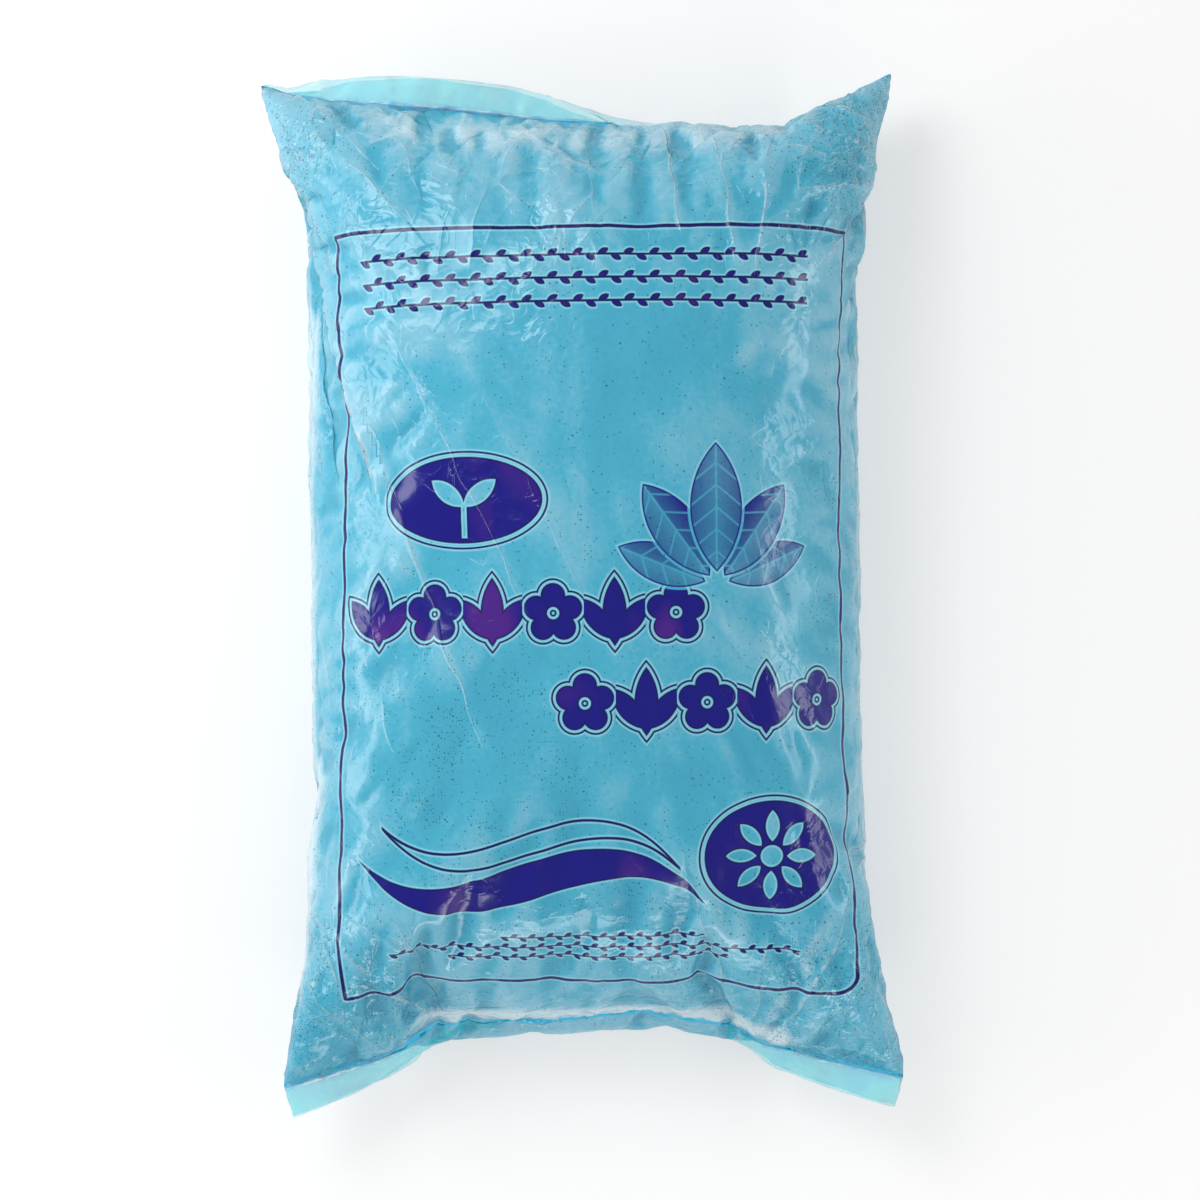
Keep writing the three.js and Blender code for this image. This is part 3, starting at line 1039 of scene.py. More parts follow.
def grain(tree, place, size, detail=2.0, roughness=0.5, output="Fac"):
    """Soft noise in the plane of the film, with features of the given size in millimetres."""
    node = tree.nodes.new("ShaderNodeTexNoise")
    node.noise_dimensions = "2D"
    feed(tree, place, node.inputs["Vector"])
    node.inputs["Scale"].default_value = 1 / size
    node.inputs["Detail"].default_value = detail
    node.inputs["Roughness"].default_value = roughness
    return Term(tree, node.outputs[output])


def vector_math(tree, operation, *values):
    """A sum or a product of vectors, each of them a socket or plain numbers."""
    node = tree.nodes.new("ShaderNodeVectorMath")
    node.operation = operation
    for socket, value in zip(node.inputs, values):
        feed(tree, value, socket)
    return Term(tree, node.outputs[0])


def shifted(tree, place, size, distance):
    """place, pushed about by soft noise, so that what follows it wanders."""
    noise = grain(tree, place, size, detail=0.0, output="Color")
    return vector_math(tree, "MULTIPLY_ADD", noise, (distance,) * 3, place)


def stretched(tree, place, scale):
    """place with each of its axes scaled."""
    return vector_math(tree, "MULTIPLY", place, scale)


def parts(tree, vector):
    """The three parts of a vector."""
    split = tree.nodes.new("ShaderNodeSeparateXYZ")
    feed(tree, vector, split.inputs[0])
    return [Term(tree, socket) for socket in split.outputs]


def blend_colours(tree, first, second, share):
    node = tree.nodes.new("ShaderNodeMix")
    node.data_type = "RGBA"
    feed(tree, share, node.inputs["Factor"])
    feed(tree, first, node.inputs[6])
    feed(tree, second, node.inputs[7])
    return Term(tree, node.outputs[2])


def cells(tree, place, size):
    """Cells of the given size in millimetres in the plane of the film."""
    node = tree.nodes.new("ShaderNodeTexVoronoi")
    node.voronoi_dimensions = "2D"
    feed(tree, place, node.inputs["Vector"])
    node.inputs["Scale"].default_value = 1 / size
    return node


def crinkle_group():
    """What is finer than the mesh, as a height in metres: crumpled facets, sharp ridges, the lines of the
    crests and the film's own faint grain. For the colour it gives painted light and shade as well: ridges
    and crest lines paler, one side of each crest paler and the other deeper, and a painted highlight along
    the sharpest crests."""
    numbers = [(label, "Float", 0.0) for label in ("Slack", "Crest Side", "Crest Line")]
    inputs = [("Place", "Vector", (0, 0, 0)), *numbers]
    outputs = [("Height", "Float"), ("Crease Shading", "Float"), ("White", "Float")]
    tree, given, leave = new_group("Film crinkle", inputs, outputs)
    place = shifted(tree, given["Place"], WANDER_SIZE, WANDER_PUSH)
    facets = None
    for size, scale, share in FACET_SIZES:
        cell = cells(tree, stretched(tree, place, scale), size)
        facet = Term(tree, cell.outputs["Distance"]) * share
        facets = facet if facets is None else facets + facet
    ridge = (1 - abs(grain(tree, place, RIDGE_SIZE, detail=1.0) * 2 - 1) * RIDGE_SHARPNESS).most(0.0)
    patch = (grain(tree, given["Place"], PATCH_SIZE, detail=0.0) * 4 - 1.4).clamp()
    crumpled = given["Slack"] * (patch * 0.8 + 0.2)
    push = parts(tree, place)[0] - parts(tree, given["Place"])[0] - WANDER_PUSH / 2
    side = given["Crest Side"] + push * CREST_WANDER
    crest = (abs(side) * (-1 / CREST_LINE)).math("EXPONENT") * given["Crest Line"]
    # painted light and shade on either side of a crest: positive on one side, which is painted paler,
    # negative on the other, which is painted deeper
    beside = side / CREST_SHADE
    painted_sides = beside * (abs(beside) * -1.0).math("EXPONENT") * given["Crest Line"]
    fine = grain(tree, given["Place"], GRAIN_SIZE, detail=1.0)
    height = (facets * FACET_HEIGHT + ridge * RIDGE_HEIGHT) * crumpled
    feed(tree, height + crest * CREST_HEIGHT + fine * GRAIN_HEIGHT, leave.inputs["Height"])
    # the crease shading is painted light and shade for the colour: ridges and crest lines paler, one side of
    # each crest paler and the other deeper
    feed(tree, ridge * crumpled + crest * LINE_SHARE + painted_sides * SHADE_SHARE, leave.inputs["Crease Shading"])
    # White is a painted highlight along the sharpest crests
    feed(tree, (crest * LINE_SHARE - 0.25).clamp(), leave.inputs["White"])
    return tree


def speck_group():
    """Crumbs of soil against the film: a round speck in some cells of a fine and of a coarse mesh."""
    inputs = [("Place", "Vector", (0, 0, 0)), ("Density", "Float", 0.2)]
    tree, given, leave = new_group("Soil specks", inputs, [("Specks", "Float")])
    total = None
    for size, radius, share in SPECK_SIZES:
        cell = cells(tree, given["Place"], size)
        chance = tree.nodes.new("ShaderNodeSeparateColor")
        feed(tree, cell.outputs["Color"], chance.inputs[0])
        there = (given["Density"] * share).math("GREATER_THAN", Term(tree, chance.outputs[0]))
        reach = Term(tree, chance.outputs[1]) * radius + radius * 0.35
        speck = ((reach - Term(tree, cell.outputs["Distance"])) / (radius * 0.4)).clamp() * there
        total = speck if total is None else total.most(speck)
    feed(tree, total, leave.inputs["Specks"])
    return tree


def tone_group():
    """The colour of the film: deeper where soil is pressed on it, paler where it is crumpled and varied by
    soft random tone, with painted light and shade over that: paler where it stands proud, partly off the
    soil, and along ridges and crest lines, deeper in hollows and on the dark side of crests, and whitened
    where a sheen or a crest highlight is painted.
    """
    colours = [(label, "Color", (1, 1, 1, 1)) for label in ("Film", "Pale", "Deep", "Highlight White")]
    numbers = [(label, "Float", 0.0) for label in ("Lift", "Slack", "Soil", "Crease Shading", "White", "Painted Sheen")]
    inputs = [("Place", "Vector", (0, 0, 0)), *numbers, *colours]
    tree, given, leave = new_group("Film tone", inputs, [("Color", "Color")])
    cloud = grain(tree, given["Place"], CLOUD_SIZE, detail=1.0) * 2 - 1
    drawn = stretched(tree, given["Place"], STREAK_STRETCH)
    streak = grain(tree, drawn, STREAK_SIZE, detail=1.0) * 2 - 1
    mottle = grain(tree, given["Place"], MOTTLE_SIZE, detail=1.0) * 2 - 1
    pale = given["Lift"] * PALENESS["lift"] + cloud * PALENESS["cloud"] + streak * PALENESS["streak"]
    pale = pale + mottle * PALENESS["mottle"] + given["Soil"] * PALENESS["soil"]
    tone = pale * TONE_SHARE + given["Crease Shading"] * CREASE_SHADING_SHARE
    paleness = (tone + given["Slack"] * PALENESS["slack"]).clamp()
    paler = blend_colours(tree, given["Film"], given["Pale"], paleness)
    deeper = blend_colours(tree, paler, given["Deep"], (tone * -1.0).clamp())
    # painted whitening toward the highlight colour: the painted sheen bands, the palest tone, and the
    # painted highlight along crests
    painted_whitening = ((given["Painted Sheen"] * 1.5 + tone * 0.5 - 0.40) * 1.2).clamp() * PAINTED_WHITENING_MOST
    feed(tree, blend_colours(tree, deeper, given["Highlight White"], painted_whitening.most(given["White"])), leave.inputs["Color"])
    return tree


def seal_group():
    """The fused line of each seal, at its place on the tube."""
    widths = [("Half Length", "Float", 335.0), ("Half Width", "Float", SEAL_HALF_WIDTH)]
    inputs = [("Place", "Vector", (0, 0, 0)), *widths]
    tree, given, leave = new_group("Seal line", inputs, [("Line", "Float")])
    wave = grain(tree, given["Place"], SEAL_WAVE_SIZE, detail=1.0) * SEAL_WAVE - SEAL_WAVE / 2
    apart = abs(abs(parts(tree, given["Place"])[1]) - given["Half Length"] + wave)
    feed(tree, (1.6 - apart / given["Half Width"]).clamp(), leave.inputs["Line"])
    return tree


def filled(distance, soft=0.35):
    """1 inside a shape and 0 outside it, from the distance to its edge."""
    return (0.5 - distance / (2 * soft)).clamp()


def length(x, y):
    return (x * x + y * y).root()


def turned(x, y, degrees):
    cosine, sine = math.cos(math.radians(degrees)), math.sin(math.radians(degrees))
    return x * cosine + y * sine, y * cosine - x * sine


def stroke(distance, from_edge, line):
    """A line that runs round a shape at some distance from its edge."""
    return abs(distance - (from_edge + line / 2)) - line / 2


def disc(x, y, radius):
    return length(x, y) - radius


def oval(x, y, half_width, half_height):
    reach = length(x / half_width, y / half_height)
    slope = length(x / half_width**2, y / half_height**2)
    return reach * (reach - 1) / slope.most(1e-4)


def leaf(x, y, half_length, half_width):
    """A pointed leaf along x: the part that two equal circles share."""
    radius = (half_length**2 + half_width**2) / (2 * half_width)
    return length(x, abs(y) + (radius - half_width)) - radius


def bar(x, y, half_width, half_height):
    return (abs(x) - half_width).most(abs(y) - half_height)


def sprout(x, y, size):
    """A seedling: two leaves on a short stem, size high."""
    leaf_x, leaf_y = turned(abs(x) - 0.26 * size, y - 0.16 * size, 38)
    leaves = leaf(leaf_x, leaf_y, 0.34 * size, 0.145 * size)
    return leaves.least(bar(x, y + 0.27 * size, 0.045 * size, 0.28 * size))


def flower(x, y, radius, petals):
    """A round head with so many petals about it."""
    turn = y.math("ARCTAN2", x) * (petals / (2 * math.pi))
    turn = (turn - (turn + 0.5).floor()) * (2 * math.pi / petals)
    reach = length(x, y)
    petal_x = reach * turn.math("COSINE") - 0.66 * radius
    petal_y = reach * turn.math("SINE")
    petal = leaf(petal_x, petal_y, 0.33 * radius, 0.15 * radius)
    return petal.least(disc(x, y, 0.24 * radius))


def ribbon_course(share, swoosh):
    """What a ribbon does at a share of its run: how its curve arches and sways, and where its middle is."""
    start_y, end_y = swoosh["start"][1], swoosh["end"][1]
    arch = share * (1 - share)
    sway = share * swoosh["swing"] + swoosh["sag"]
    return arch, sway, share * (end_y - start_y) + start_y + arch * sway


def ribbon(x, y, swoosh):
    """The region between two curves that meet at both tips."""
    (start_x, start_y), (end_x, end_y) = swoosh["start"], swoosh["end"]
    run = end_x - start_x
    share = (x - start_x) / run
    arch, sway, middle = ribbon_course(share, swoosh)
    slope = ((1 - share * 2) * sway + arch * swoosh["swing"] + (end_y - start_y)) / run
    inside = arch * (swoosh["thickness"] * 2)
    across = (abs(y - middle) - inside) / (slope * slope + 1).root()
    return across.most((share * -run).most((share - 1) * run))


def row_cell(x, start, pitch, last):
    """The number of the cell that x is in, up to the last one, and x from that cell's middle."""
    cell = ((x - start) / pitch).floor().most(0).least(last)
    return cell, x - start - (cell + 0.5) * pitch


def parity(cell):
    """0 in an even cell and 1 in an odd one."""
    half = cell * 0.5
    return (half - half.floor()) * 2


def pick(row, choices):
    """One of three numbers, by the row that a place is in: -1, 0 or 1."""
    low, middle, high = choices
    if low == middle == high:
        return middle
    return row * ((high - low) / 2) + row * row * ((high + low) / 2 - middle) + middle


def garland(x, y, rows):
    """Three rows of small leaves, which lie above and below a thin stem in turn."""
    height = y - rows["y"]
    row = (height / rows["spacing"] + 0.5).floor().most(-1).least(1)
    height = height - row * rows["spacing"]
    pitch = rows["pitch"]
    start, end = pick(row, rows["before"]) * -pitch, pick(row, rows["after"]) * pitch
    cell, local = row_cell(x, start, pitch, (end - start) / pitch - 1)
    size = pitch * 0.50
    leaf_x, leaf_y = turned(local, height * (parity(cell) * 2 - 1) - size * 0.46, 30)
    leaves = leaf(leaf_x, leaf_y, size, size * 0.52)
    ends = abs(x - (start + end) / 2) - (end - start) / 2
    return leaves.least(ends.most(abs(height) - rows["stem"]))


def leaf_fan(x, y, size):
    """Three broad leaves that spread from one root."""
    side_x, side_y = turned(abs(x) - 0.25 * size, y + 0.08 * size, 52)
    sides = leaf(side_x, side_y, 0.37 * size, 0.15 * size)
    return sides.least(leaf(y - 0.02 * size, x, 0.49 * size, 0.17 * size))


def blossom(x, y, size):
    """A round flower with five full petals and an open heart."""
    turn = (x.math("ARCTAN2", y) * (5 / (2 * math.pi)))
    turn = (turn - (turn + 0.5).floor()) * (2 * math.pi / 5)
    reach = length(x, y)
    petal = disc(reach * turn.math("COSINE") - 0.25 * size, reach * turn.math("SINE"), 0.175 * size)
    return petal.least(disc(x, y, 0.2 * size)).most(-disc(x, y, 0.085 * size))


def title_rows(x, y, rows):
    """Two bold rows of leaf fans and blossoms in turn, with a line round each. The lower row has one
    fewer."""
    lower = 1 - y.above(rows["y"] - rows["drop"] / 2)
    last = rows["count"] - 1 - lower
    cell, local = row_cell(x, lower * rows["shift"] + rows["start"], rows["pitch"], last)
    height = y - rows["y"] + lower * rows["drop"]
    motif = leaf_fan(local, height, rows["size"])
    motif = motif.toward(blossom(local, height, rows["size"]), parity(cell + lower))
    return motif.least(stroke(motif, rows["gap"], rows["line"]))


def badge(x, y, place, motif):
    """A dark oval with a line round it, and a motif left open in it."""
    local_x, local_y = x - place["x"], y - place["y"]
    edge = oval(local_x, local_y, place["half_width"], place["half_height"])
    return edge.most(-motif(local_x, local_y)).least(stroke(edge, place["gap"], place["line"]))


def border(x, y, frame_line):
    """The line round the whole print, with one rounded corner at the bottom right."""
    middle_x = (frame_line["left"] + frame_line["right"]) / 2
    middle_y = (frame_line["bottom"] + frame_line["top"]) / 2
    x, y = x - middle_x, y - middle_y
    corner = x.above(0) * (1 - y.above(0)) * (frame_line["corner"] - 1) + 1
    over_x = abs(x) - (frame_line["right"] - frame_line["left"]) / 2 + corner
    over_y = abs(y) - (frame_line["top"] - frame_line["bottom"]) / 2 + corner
    outside = length(over_x.most(0), over_y.most(0))
    edge = outside + over_x.most(over_y).least(0) - corner
    return abs(edge) - frame_line["line"] / 2


def spray(x, y, place):
    """Five leaves that spread from one root, given as steps: the distance to each leaf's edge and the
    depth of its ink. One half of a leaf is darker than the other, its edge is darkest and its veins
    are open."""
    for turn, half_length, half_width, reach, depth in place["leaves"]:
        leaf_x, leaf_y = turned(abs(x - place["x"]), y - place["y"], turn)
        leaf_x = leaf_x - reach
        edge = leaf(leaf_x, leaf_y, half_length, half_width)
        across = (abs(leaf_y) / half_width).clamp()
        vein = ((leaf_x + abs(leaf_y) * 0.8) / VEIN_PITCH).math("PINGPONG", 1.0)
        veins = filled((vein - 0.10) * VEIN_PITCH * 0.75).most(filled(abs(leaf_y) - 0.6))
        shade = (leaf_y.above(0) * 0.30 + 0.34 + across * 0.25) * depth * (1 - veins * 0.65)
        yield edge, shade.clamp().toward(1.0, filled(abs(edge + 0.5) - 0.55))


def print_group(layout):
    """All the print, from a place on the film in millimetres: how much ink there is, where it lies thick
    along an edge, and a pale rim beside it."""
    outputs = [("Ink", "Float"), ("Edge", "Float"), ("Rim", "Float")]
    tree, given, leave = new_group("Print", [("Place", "Vector", (0, 0, 0))], outputs)
    x, y, face = parts(tree, given["Place"])
    shapes = [border(x, y, layout["border"])]
    shapes += [garland(x, y, row) for row in layout["garlands"]]
    shapes.append(title_rows(x, y, layout["title"]))
    shapes.append(badge(x, y, layout["top_badge"], lambda u, v: sprout(u, v + 2, 40)))
    shapes.append(badge(x, y, layout["low_badge"], lambda u, v: flower(u, v, 30, 8)))
    shapes.append(stroke(ribbon(x, y, layout["open_ribbon"]), -0.9, 1.8))
    shapes.append(ribbon(x, y, layout["full_ribbon"]))
    nearest = shapes[0]
    for shape in shapes[1:]:
        nearest = nearest.least(shape)
    ink = filled(nearest)
    thick = filled(abs(nearest + INK_EDGE / 2) - INK_EDGE / 2)
    for edge, shade in spray(x, y, layout["spray"]):
        ink = (ink * (1 - filled(edge - SPRAY_GAP))).toward(shade, filled(edge))
        nearest = nearest.least(edge)
    front = face.above(0)
    feed(tree, ink * front, leave.inputs["Ink"])
    feed(tree, thick, leave.inputs["Edge"])
    feed(tree, (1 - nearest / INK_RIM).clamp() * (1 - filled(nearest)) * front, leave.inputs["Rim"])
    return tree


def attribute(tree, name, output="Fac"):
    node = tree.nodes.new("ShaderNodeAttribute")
    node.attribute_name = name
    return Term(tree, node.outputs[output])


def new_material(name):
    material = bpy.data.materials.new(name)
    material.use_nodes = True
    return material, material.node_tree, material.node_tree.nodes["Principled BSDF"]


def lay_bump(tree, height, shader):
    """Feeds a height in metres to the shader's normal."""
    bump = tree.nodes.new("ShaderNodeBump")
    bump.inputs["Strength"].default_value = 1.0
    bump.inputs["Distance"].default_value = 1.0
    feed(tree, height, bump.inputs["Height"])
    tree.links.new(bump.outputs["Normal"], shader.inputs["Normal"])


def shared_groups():
    """The effects that both finishes use."""
    return {"crinkle": crinkle_group(), "specks": speck_group(), "tone": tone_group(), "seal": seal_group()}


def film_base(tree, groups, size, look, colours):
    """What both finishes have in common: the film's colour with its seal line, and its crinkles."""
    place = attribute(tree, "print_place", "Vector")
    slack = attribute(tree, "slack")
    soil = attribute(tree, "soil")
    crinkle = use_group(tree, groups["crinkle"], {
        "Place": place,
        "Slack": slack,
        "Crest Side": attribute(tree, "crest_side"),
        "Crest Line": attribute(tree, "crest_line"),
    })
    tone = use_group(tree, groups["tone"], {
        "Place": place,
        "Lift": attribute(tree, "lift"),
        "Slack": slack,
        "Soil": soil,
        "Crease Shading": crinkle["Crease Shading"],
        "White": crinkle["White"],
        "Painted Sheen": attribute(tree, "painted_sheen"),
        "Film": colours[0],
        "Pale": colours[1],
        "Deep": colours[2],
        "Highlight White": tuple(look.highlight_white),
    })["Color"]
    half_length = size.seal_to_seal / 2 / MM
    line = use_group(tree, groups["seal"], {"Place": place, "Half Length": half_length})["Line"]
    return place, soil, blend_colours(tree, tone, tuple(look.seal), line), crinkle["Height"], line


def filled_film(groups, size, look, inked):
    """Film over dark soil: a hazy gloss and crumbs that show through and, where it is inked, the print."""
    material, tree, shader = new_material("Printed film over soil" if inked else "Film over soil")
    colours = (tuple(look.film), tuple(look.pale), tuple(look.deep))
    place, soil, colour, height, _ = film_base(tree, groups, size, look, colours)
    patch = (grain(tree, place, SPECK_PATCH_SIZE, detail=1.0) * 5 - 2.2).clamp()
    density = (patch + 0.30) * soil * 0.90 + 0.02
    specks = use_group(tree, groups["specks"], {"Place": place, "Density": density})["Specks"]
    colour = blend_colours(tree, colour, tuple(look.soil), specks * SPECK_COVER)
    if inked:
        inks = use_group(tree, print_group(PRINT), {"Place": place})
        colour = lay_ink(tree, place, look, inks, colour)
    feed(tree, colour, shader.inputs["Base Color"])
    feed(tree, grain(tree, place, GLOSS_SIZE, detail=1.0) * GLOSS[1] + GLOSS[0], shader.inputs["Roughness"])
    shader.inputs["Specular IOR Level"].default_value = 0.50
    lay_bump(tree, height, shader)
    return material


def lay_ink(tree, place, look, inks, colour):
    """Dark blue ink with a painted violet sheen in soft patches over the film's colour, with a pale rim
    beside it.
    """
    colour = blend_colours(tree, colour, tuple(look.rim), inks["Rim"] * 0.95)
    tall = stretched(tree, place, (1.0, 0.5, 1.0))
    # soft patches of painted violet sheen on the ink
    violet = (grain(tree, tall, VIOLET_SIZE, detail=1.0) * 6 - 3.4).clamp()
    ink = blend_colours(tree, tuple(look.ink), tuple(look.ink_painted_sheen), violet * 0.8)
    ink = blend_colours(tree, ink, tuple(look.ink_edge), inks["Edge"] * 0.8)
    return blend_colours(tree, colour, ink, inks["Ink"])


def loose_film(groups, size, look):
    """Two clear plies of the same film with nothing behind them."""
    material, tree, shader = new_material("Loose film")
    colours = (tuple(look.selvage), tuple(look.selvage_pale), tuple(look.selvage_deep))
    place, _, colour, height, line = film_base(tree, groups, size, look, colours)
    feed(tree, colour, shader.inputs["Base Color"])
    rough = grain(tree, place, LOOSE_GLOSS_SIZE, detail=1.0) * LOOSE_GLOSS[1] + LOOSE_GLOSS[0]
    feed(tree, rough, shader.inputs["Roughness"])
    feed(tree, (line * LOOSE_COVER[1] + LOOSE_COVER[0]).clamp(), shader.inputs["Alpha"])
    lay_bump(tree, height, shader)
    return material


def aim(item, target):
    """Turns a lamp or a camera to look at a point, with its top towards +Y when it looks straight down."""
    item.rotation_euler = (Vector(target) - item.location).to_track_quat("-Z", "Y").to_euler()


def add_softbox(name, place, size, power, target):
    lamp = bpy.data.lights.new(name, "AREA")
    lamp.shape = "RECTANGLE"
    lamp.size, lamp.size_y = size
    lamp.energy = power
    item = bpy.data.objects.new(name, lamp)
    item.location = place
    bpy.context.scene.collection.objects.link(item)
    aim(item, target)


def background_rays(tree):
    """1 for the rays that should meet plain white: those of the camera, of gloss and of clear film."""
    path = tree.nodes.new("ShaderNodeLightPath")
    seen = [Term(tree, path.outputs[f"Is {kind} Ray"]) for kind in ("Camera", "Glossy", "Transmission")]
    return seen[0].most(seen[1]).most(seen[2])


def make_floor(level):
    mesh = bpy.data.meshes.new("floor")
    reach, low = FLOOR_REACH, CAD_LOW.z - FLOOR_DROP
    corners = [(-reach, -reach, low), (reach, -reach, low), (reach, reach, low), (-reach, reach, low)]
    mesh.from_pydata(corners, [], [(0, 1, 2, 3)])
    floor = bpy.data.objects.new("floor", mesh)
    bpy.context.scene.collection.objects.link(floor)
    material, tree, shader = new_material("Pale floor")
    shader.inputs["Base Color"].default_value = (FLOOR_WHITE, FLOOR_WHITE, FLOOR_WHITE, 1)
    shader.inputs["Roughness"].default_value = 0.9
    shader.inputs["Specular IOR Level"].default_value = 0.0
    shader.inputs["Emission Color"].default_value = (1, 1, 1, 1)
    feed(tree, background_rays(tree) * level, shader.inputs["Emission Strength"])
    mesh.materials.append(material)


def make_world(level):
    """White walls all round, which darken to the given level overhead."""
    world = bpy.data.worlds.new("studio")
    bpy.context.scene.world = world
    world.use_nodes = True
    tree = world.node_tree
    shader = tree.nodes["Background"]
    shader.inputs["Color"].default_value = (1, 1, 1, 1)
    direction = tree.nodes.new("ShaderNodeTexCoord").outputs["Generated"]
    overhead = (abs(parts(tree, direction)[2]) / HORIZON_REACH).clamp()
    feed(tree, overhead * (level - 1) + 1, shader.inputs["Strength"])


def make_camera(stage):
    data = bpy.data.cameras.new("camera")
    camera = bpy.data.objects.new("camera", data)
    bpy.context.scene.collection.objects.link(camera)
    x = CAD_MIDDLE.x + stage.camera_aside
    y = CAD_MIDDLE.y + stage.camera_ahead
    camera.location = (x, y, CAD_LOW.z + stage.camera_height)
    camera.rotation_euler = (0, 0, 0)
    data.lens = data.sensor_width * (stage.camera_height - SIDE_HEIGHT) / stage.view_width
    bpy.context.scene.camera = camera


def length_property(name, description, default):
    return bpy.props.FloatProperty(name=name, description=description, default=default, unit="LENGTH")


class SackSize(bpy.types.PropertyGroup):
    """The film tube and its fill."""

    flat_width: length_property("Flat width", "Width of the empty tube, pressed flat", 0.436)
    seal_to_seal: length_property("Seal to seal", "Length of film between the two heat seals", 0.670)
    top_selvage: length_property("Top selvage", "Loose film beyond the top seal", 0.0255)
    bottom_selvage: length_property("Bottom selvage", "Loose film beyond the bottom seal", 0.0155)
    fill_volume: bpy.props.FloatProperty(
        name="Fill", description="Volume of the fill", default=0.0247, precision=4, unit="VOLUME")
    lay_height: length_property("Lay height", "Height of the flat tube before it is filled", 0.055)
    lean: bpy.props.FloatProperty(
        name="Lean", description="How far the sack is turned on the floor, in degrees", default=1.0)


def colour_property(name, description, default):
    return bpy.props.FloatVectorProperty(
        name=name, description=description, default=(*default, 1.0), size=4, min=0, max=1, subtype="COLOR")


class SackLook(bpy.types.PropertyGroup):
    """The colours of the film, the ink and the soil behind it, as linear values. The pale and deep film and
    selvage, the highlight white and the ink's sheen also stand for painted light and shade.
    """

    film: colour_property("Film", "Film over soil", (0.078, 0.465, 0.650))
    # pale film: partly film off the soil, partly a painted highlight on proud film, on ridges and on the
    # light side of crests
    pale: colour_property("Pale film", "Film that stands off the soil", (0.350, 0.650, 0.800))
    # deep film: soil pressed on the film, and painted shade in hollows and on the dark side of crests
    deep: colour_property("Deep film", "Film pressed on the soil", (0.038, 0.330, 0.500))
    # painted highlight colour: the pale sheen bands and the line along the sharpest crests
    highlight_white: colour_property(
        "Milky film", "Film that hangs loose, and its sharpest crests", (0.760, 0.900, 0.960))
    seal: colour_property("Seal", "The fused line of a seal", (0.010, 0.560, 0.900))
    soil: colour_property("Soil", "Crumbs of soil against the film", (0.020, 0.080, 0.110))
    ink: colour_property("Ink", "The printing ink", (0.006, 0.005, 0.230))
    ink_edge: colour_property("Ink edge", "The ink where it lies thick", (0.004, 0.003, 0.060))
    # painted sheen: the violet cast that gloss gives the ink, laid in soft random patches
    ink_painted_sheen: colour_property(
        "Ink sheen", "The violet cast of the ink where it is thin", (0.085, 0.015, 0.260))
    rim: colour_property("Ink rim", "The pale rim beside the ink", (0.340, 0.760, 0.880))
    selvage: colour_property("Selvage", "Loose film", (0.040, 0.900, 1.000))
    # pale selvage: soft random tone, and a painted highlight on proud loose film, on ridges and on the light
    # side of crests
    selvage_pale: colour_property("Pale selvage", "Loose film at its palest", (0.200, 0.960, 1.000))
    # deep selvage: the loose film's darkest tone, from soft random tone and painted shade in its hollows and
    # on the dark side of its crests
    selvage_deep: colour_property("Deep selvage", "Loose film where its plies meet", (0.010, 0.740, 0.980))


class SackStage(bpy.types.PropertyGroup):
    """The camera over the sack, and the level of the light."""

    camera_height: length_property("Camera height", "Height of the camera over the floor", 2.6)
    camera_aside: length_property("Camera aside", "Shift of the camera across the sack", 0.0118)
    camera_ahead: length_property("Camera ahead", "Shift of the camera along the sack", -0.0033)
    view_width: length_property("View width", "Width of the view at the sack's sides", 0.785)
    surround: bpy.props.FloatProperty(
        name="Surround", description="Light from overhead", default=0.32, min=0, max=1, subtype="FACTOR")
    key: bpy.props.FloatProperty(
        name="Key light", description="Power of the largest softbox", default=11.0, unit="POWER")


class SACK_OT_make_body(bpy.types.Operator):
    """Fill and settle the film tube, and make the printed sack between its two seals"""

    bl_idname = "sack.make_body"
    bl_label = "Make Filled Sack"

    def execute(self, context):
        scene = context.scene
        SHARED["film"] = settle_film(scene.sack_size)
        SHARED["groups"] = shared_groups()
        given = (SHARED["groups"], scene.sack_size, scene.sack_look)
        make_body(SHARED["film"], filled_film(*given, inked=True), filled_film(*given, inked=False))
        return {"FINISHED"}


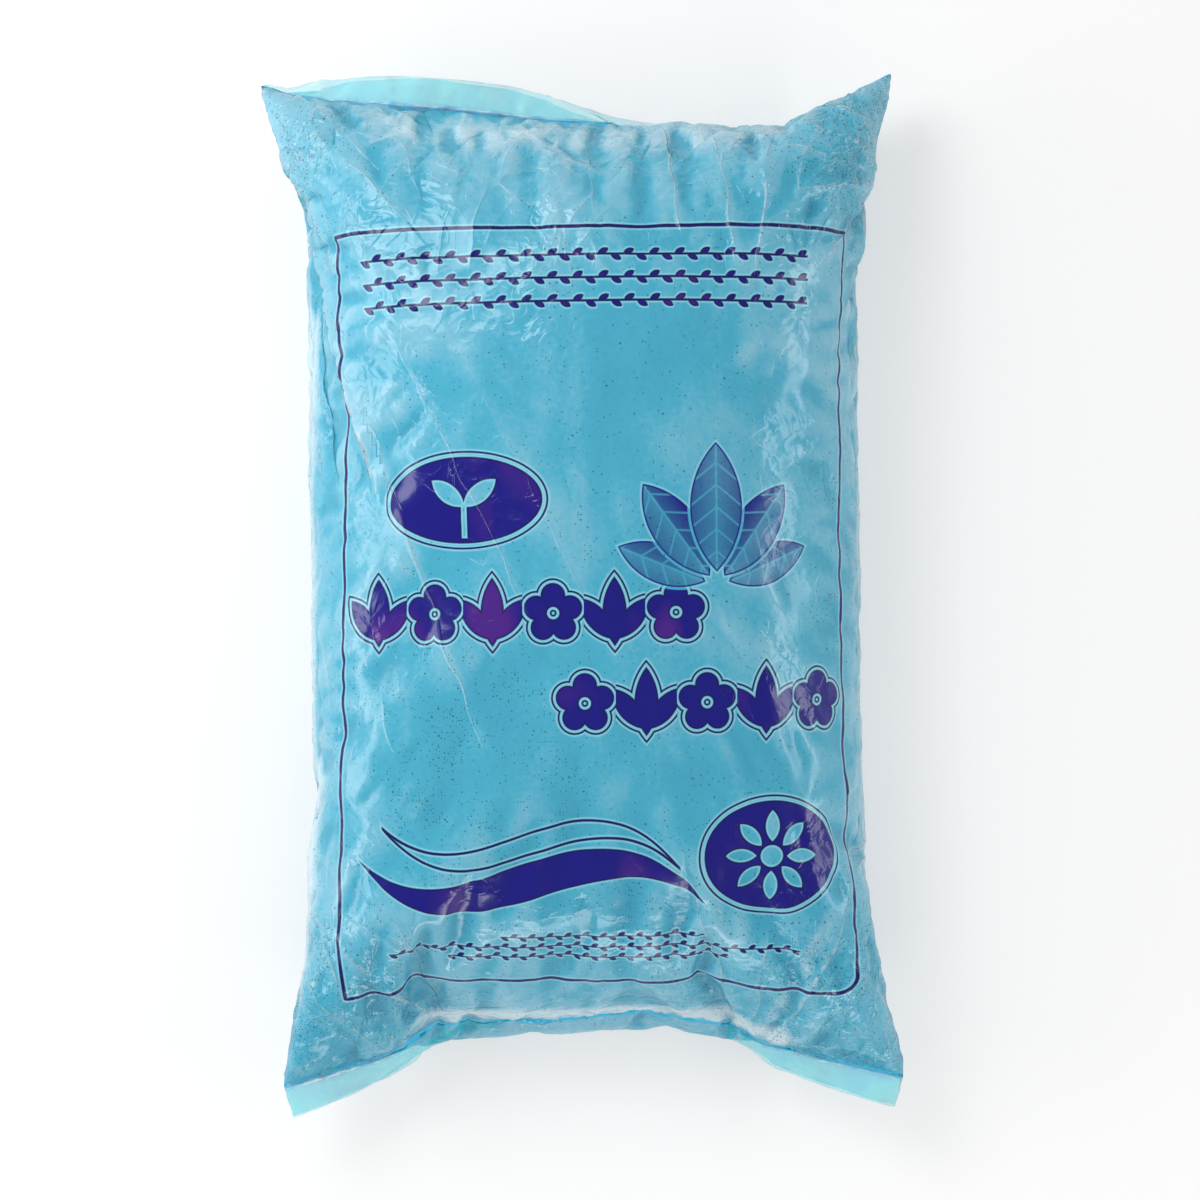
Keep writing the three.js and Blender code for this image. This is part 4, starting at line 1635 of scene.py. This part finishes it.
class SACK_OT_make_selvages(bpy.types.Operator):
    """Make the loose film beyond each seal, from the film that the filled sack has settled"""

    bl_idname = "sack.make_selvages"
    bl_label = "Make Selvages"

    def execute(self, context):
        if "film" not in SHARED:
            raise RuntimeError("The filled sack is made before its selvages")
        scene = context.scene
        film = SHARED["film"]
        loose = loose_film(SHARED["groups"], scene.sack_size, scene.sack_look)
        for name, seal, end, long in (
            ("top_selvage", film.top_seal, film.rows - 1, scene.sack_size.top_selvage),
            ("bottom_selvage", film.bottom_seal, 0, scene.sack_size.bottom_selvage),
        ):
            selvage = make_selvage(film, name, seal, end, loose)
        return {"FINISHED"}


class SACK_OT_make_stage(bpy.types.Operator):
    """Lay a pale floor, set the soft light and place the camera over the sack"""

    bl_idname = "sack.make_stage"
    bl_label = "Make Stage"

    def execute(self, context):
        stage = context.scene.sack_stage
        context.scene.view_settings.view_transform = "Standard"
        make_floor(FLOOR_GLOW)
        make_world(stage.surround)
        for name, place, size, share in SOFTBOXES:
            add_softbox(name, Vector(place) + CAD_MIDDLE, size, stage.key * share, CAD_MIDDLE)
        make_camera(stage)
        return {"FINISHED"}


class VIEW3D_PT_sack(bpy.types.Panel):
    """Lists the steps and the values of the sack"""

    bl_label = "Compost Sack"
    bl_space_type = "VIEW_3D"
    bl_region_type = "UI"
    bl_category = "Compost Sack"

    def draw(self, context):
        layout = self.layout
        for operator in OPERATORS:
            layout.operator(operator.bl_idname)
        for values in (context.scene.sack_size, context.scene.sack_look, context.scene.sack_stage):
            box = layout.box()
            for name in values.__annotations__:
                box.prop(values, name)


# What the first operator leaves for the second: the settled film and the node groups
SHARED = {}

OPERATORS = (SACK_OT_make_body, SACK_OT_make_selvages, SACK_OT_make_stage)
VALUES = (SackSize, SackLook, SackStage)
CLASSES = (*VALUES, *OPERATORS, VIEW3D_PT_sack)


def register():
    for item in CLASSES:
        bpy.utils.register_class(item)
    bpy.types.Scene.sack_size = bpy.props.PointerProperty(type=SackSize)
    bpy.types.Scene.sack_look = bpy.props.PointerProperty(type=SackLook)
    bpy.types.Scene.sack_stage = bpy.props.PointerProperty(type=SackStage)


def unregister():
    del bpy.types.Scene.sack_size, bpy.types.Scene.sack_look, bpy.types.Scene.sack_stage
    for item in reversed(CLASSES):
        bpy.utils.unregister_class(item)


def main():
    register()
    bpy.ops.sack.make_body()
    bpy.ops.sack.make_selvages()
    bpy.ops.sack.make_stage()


if __name__ == "__main__":
    main()
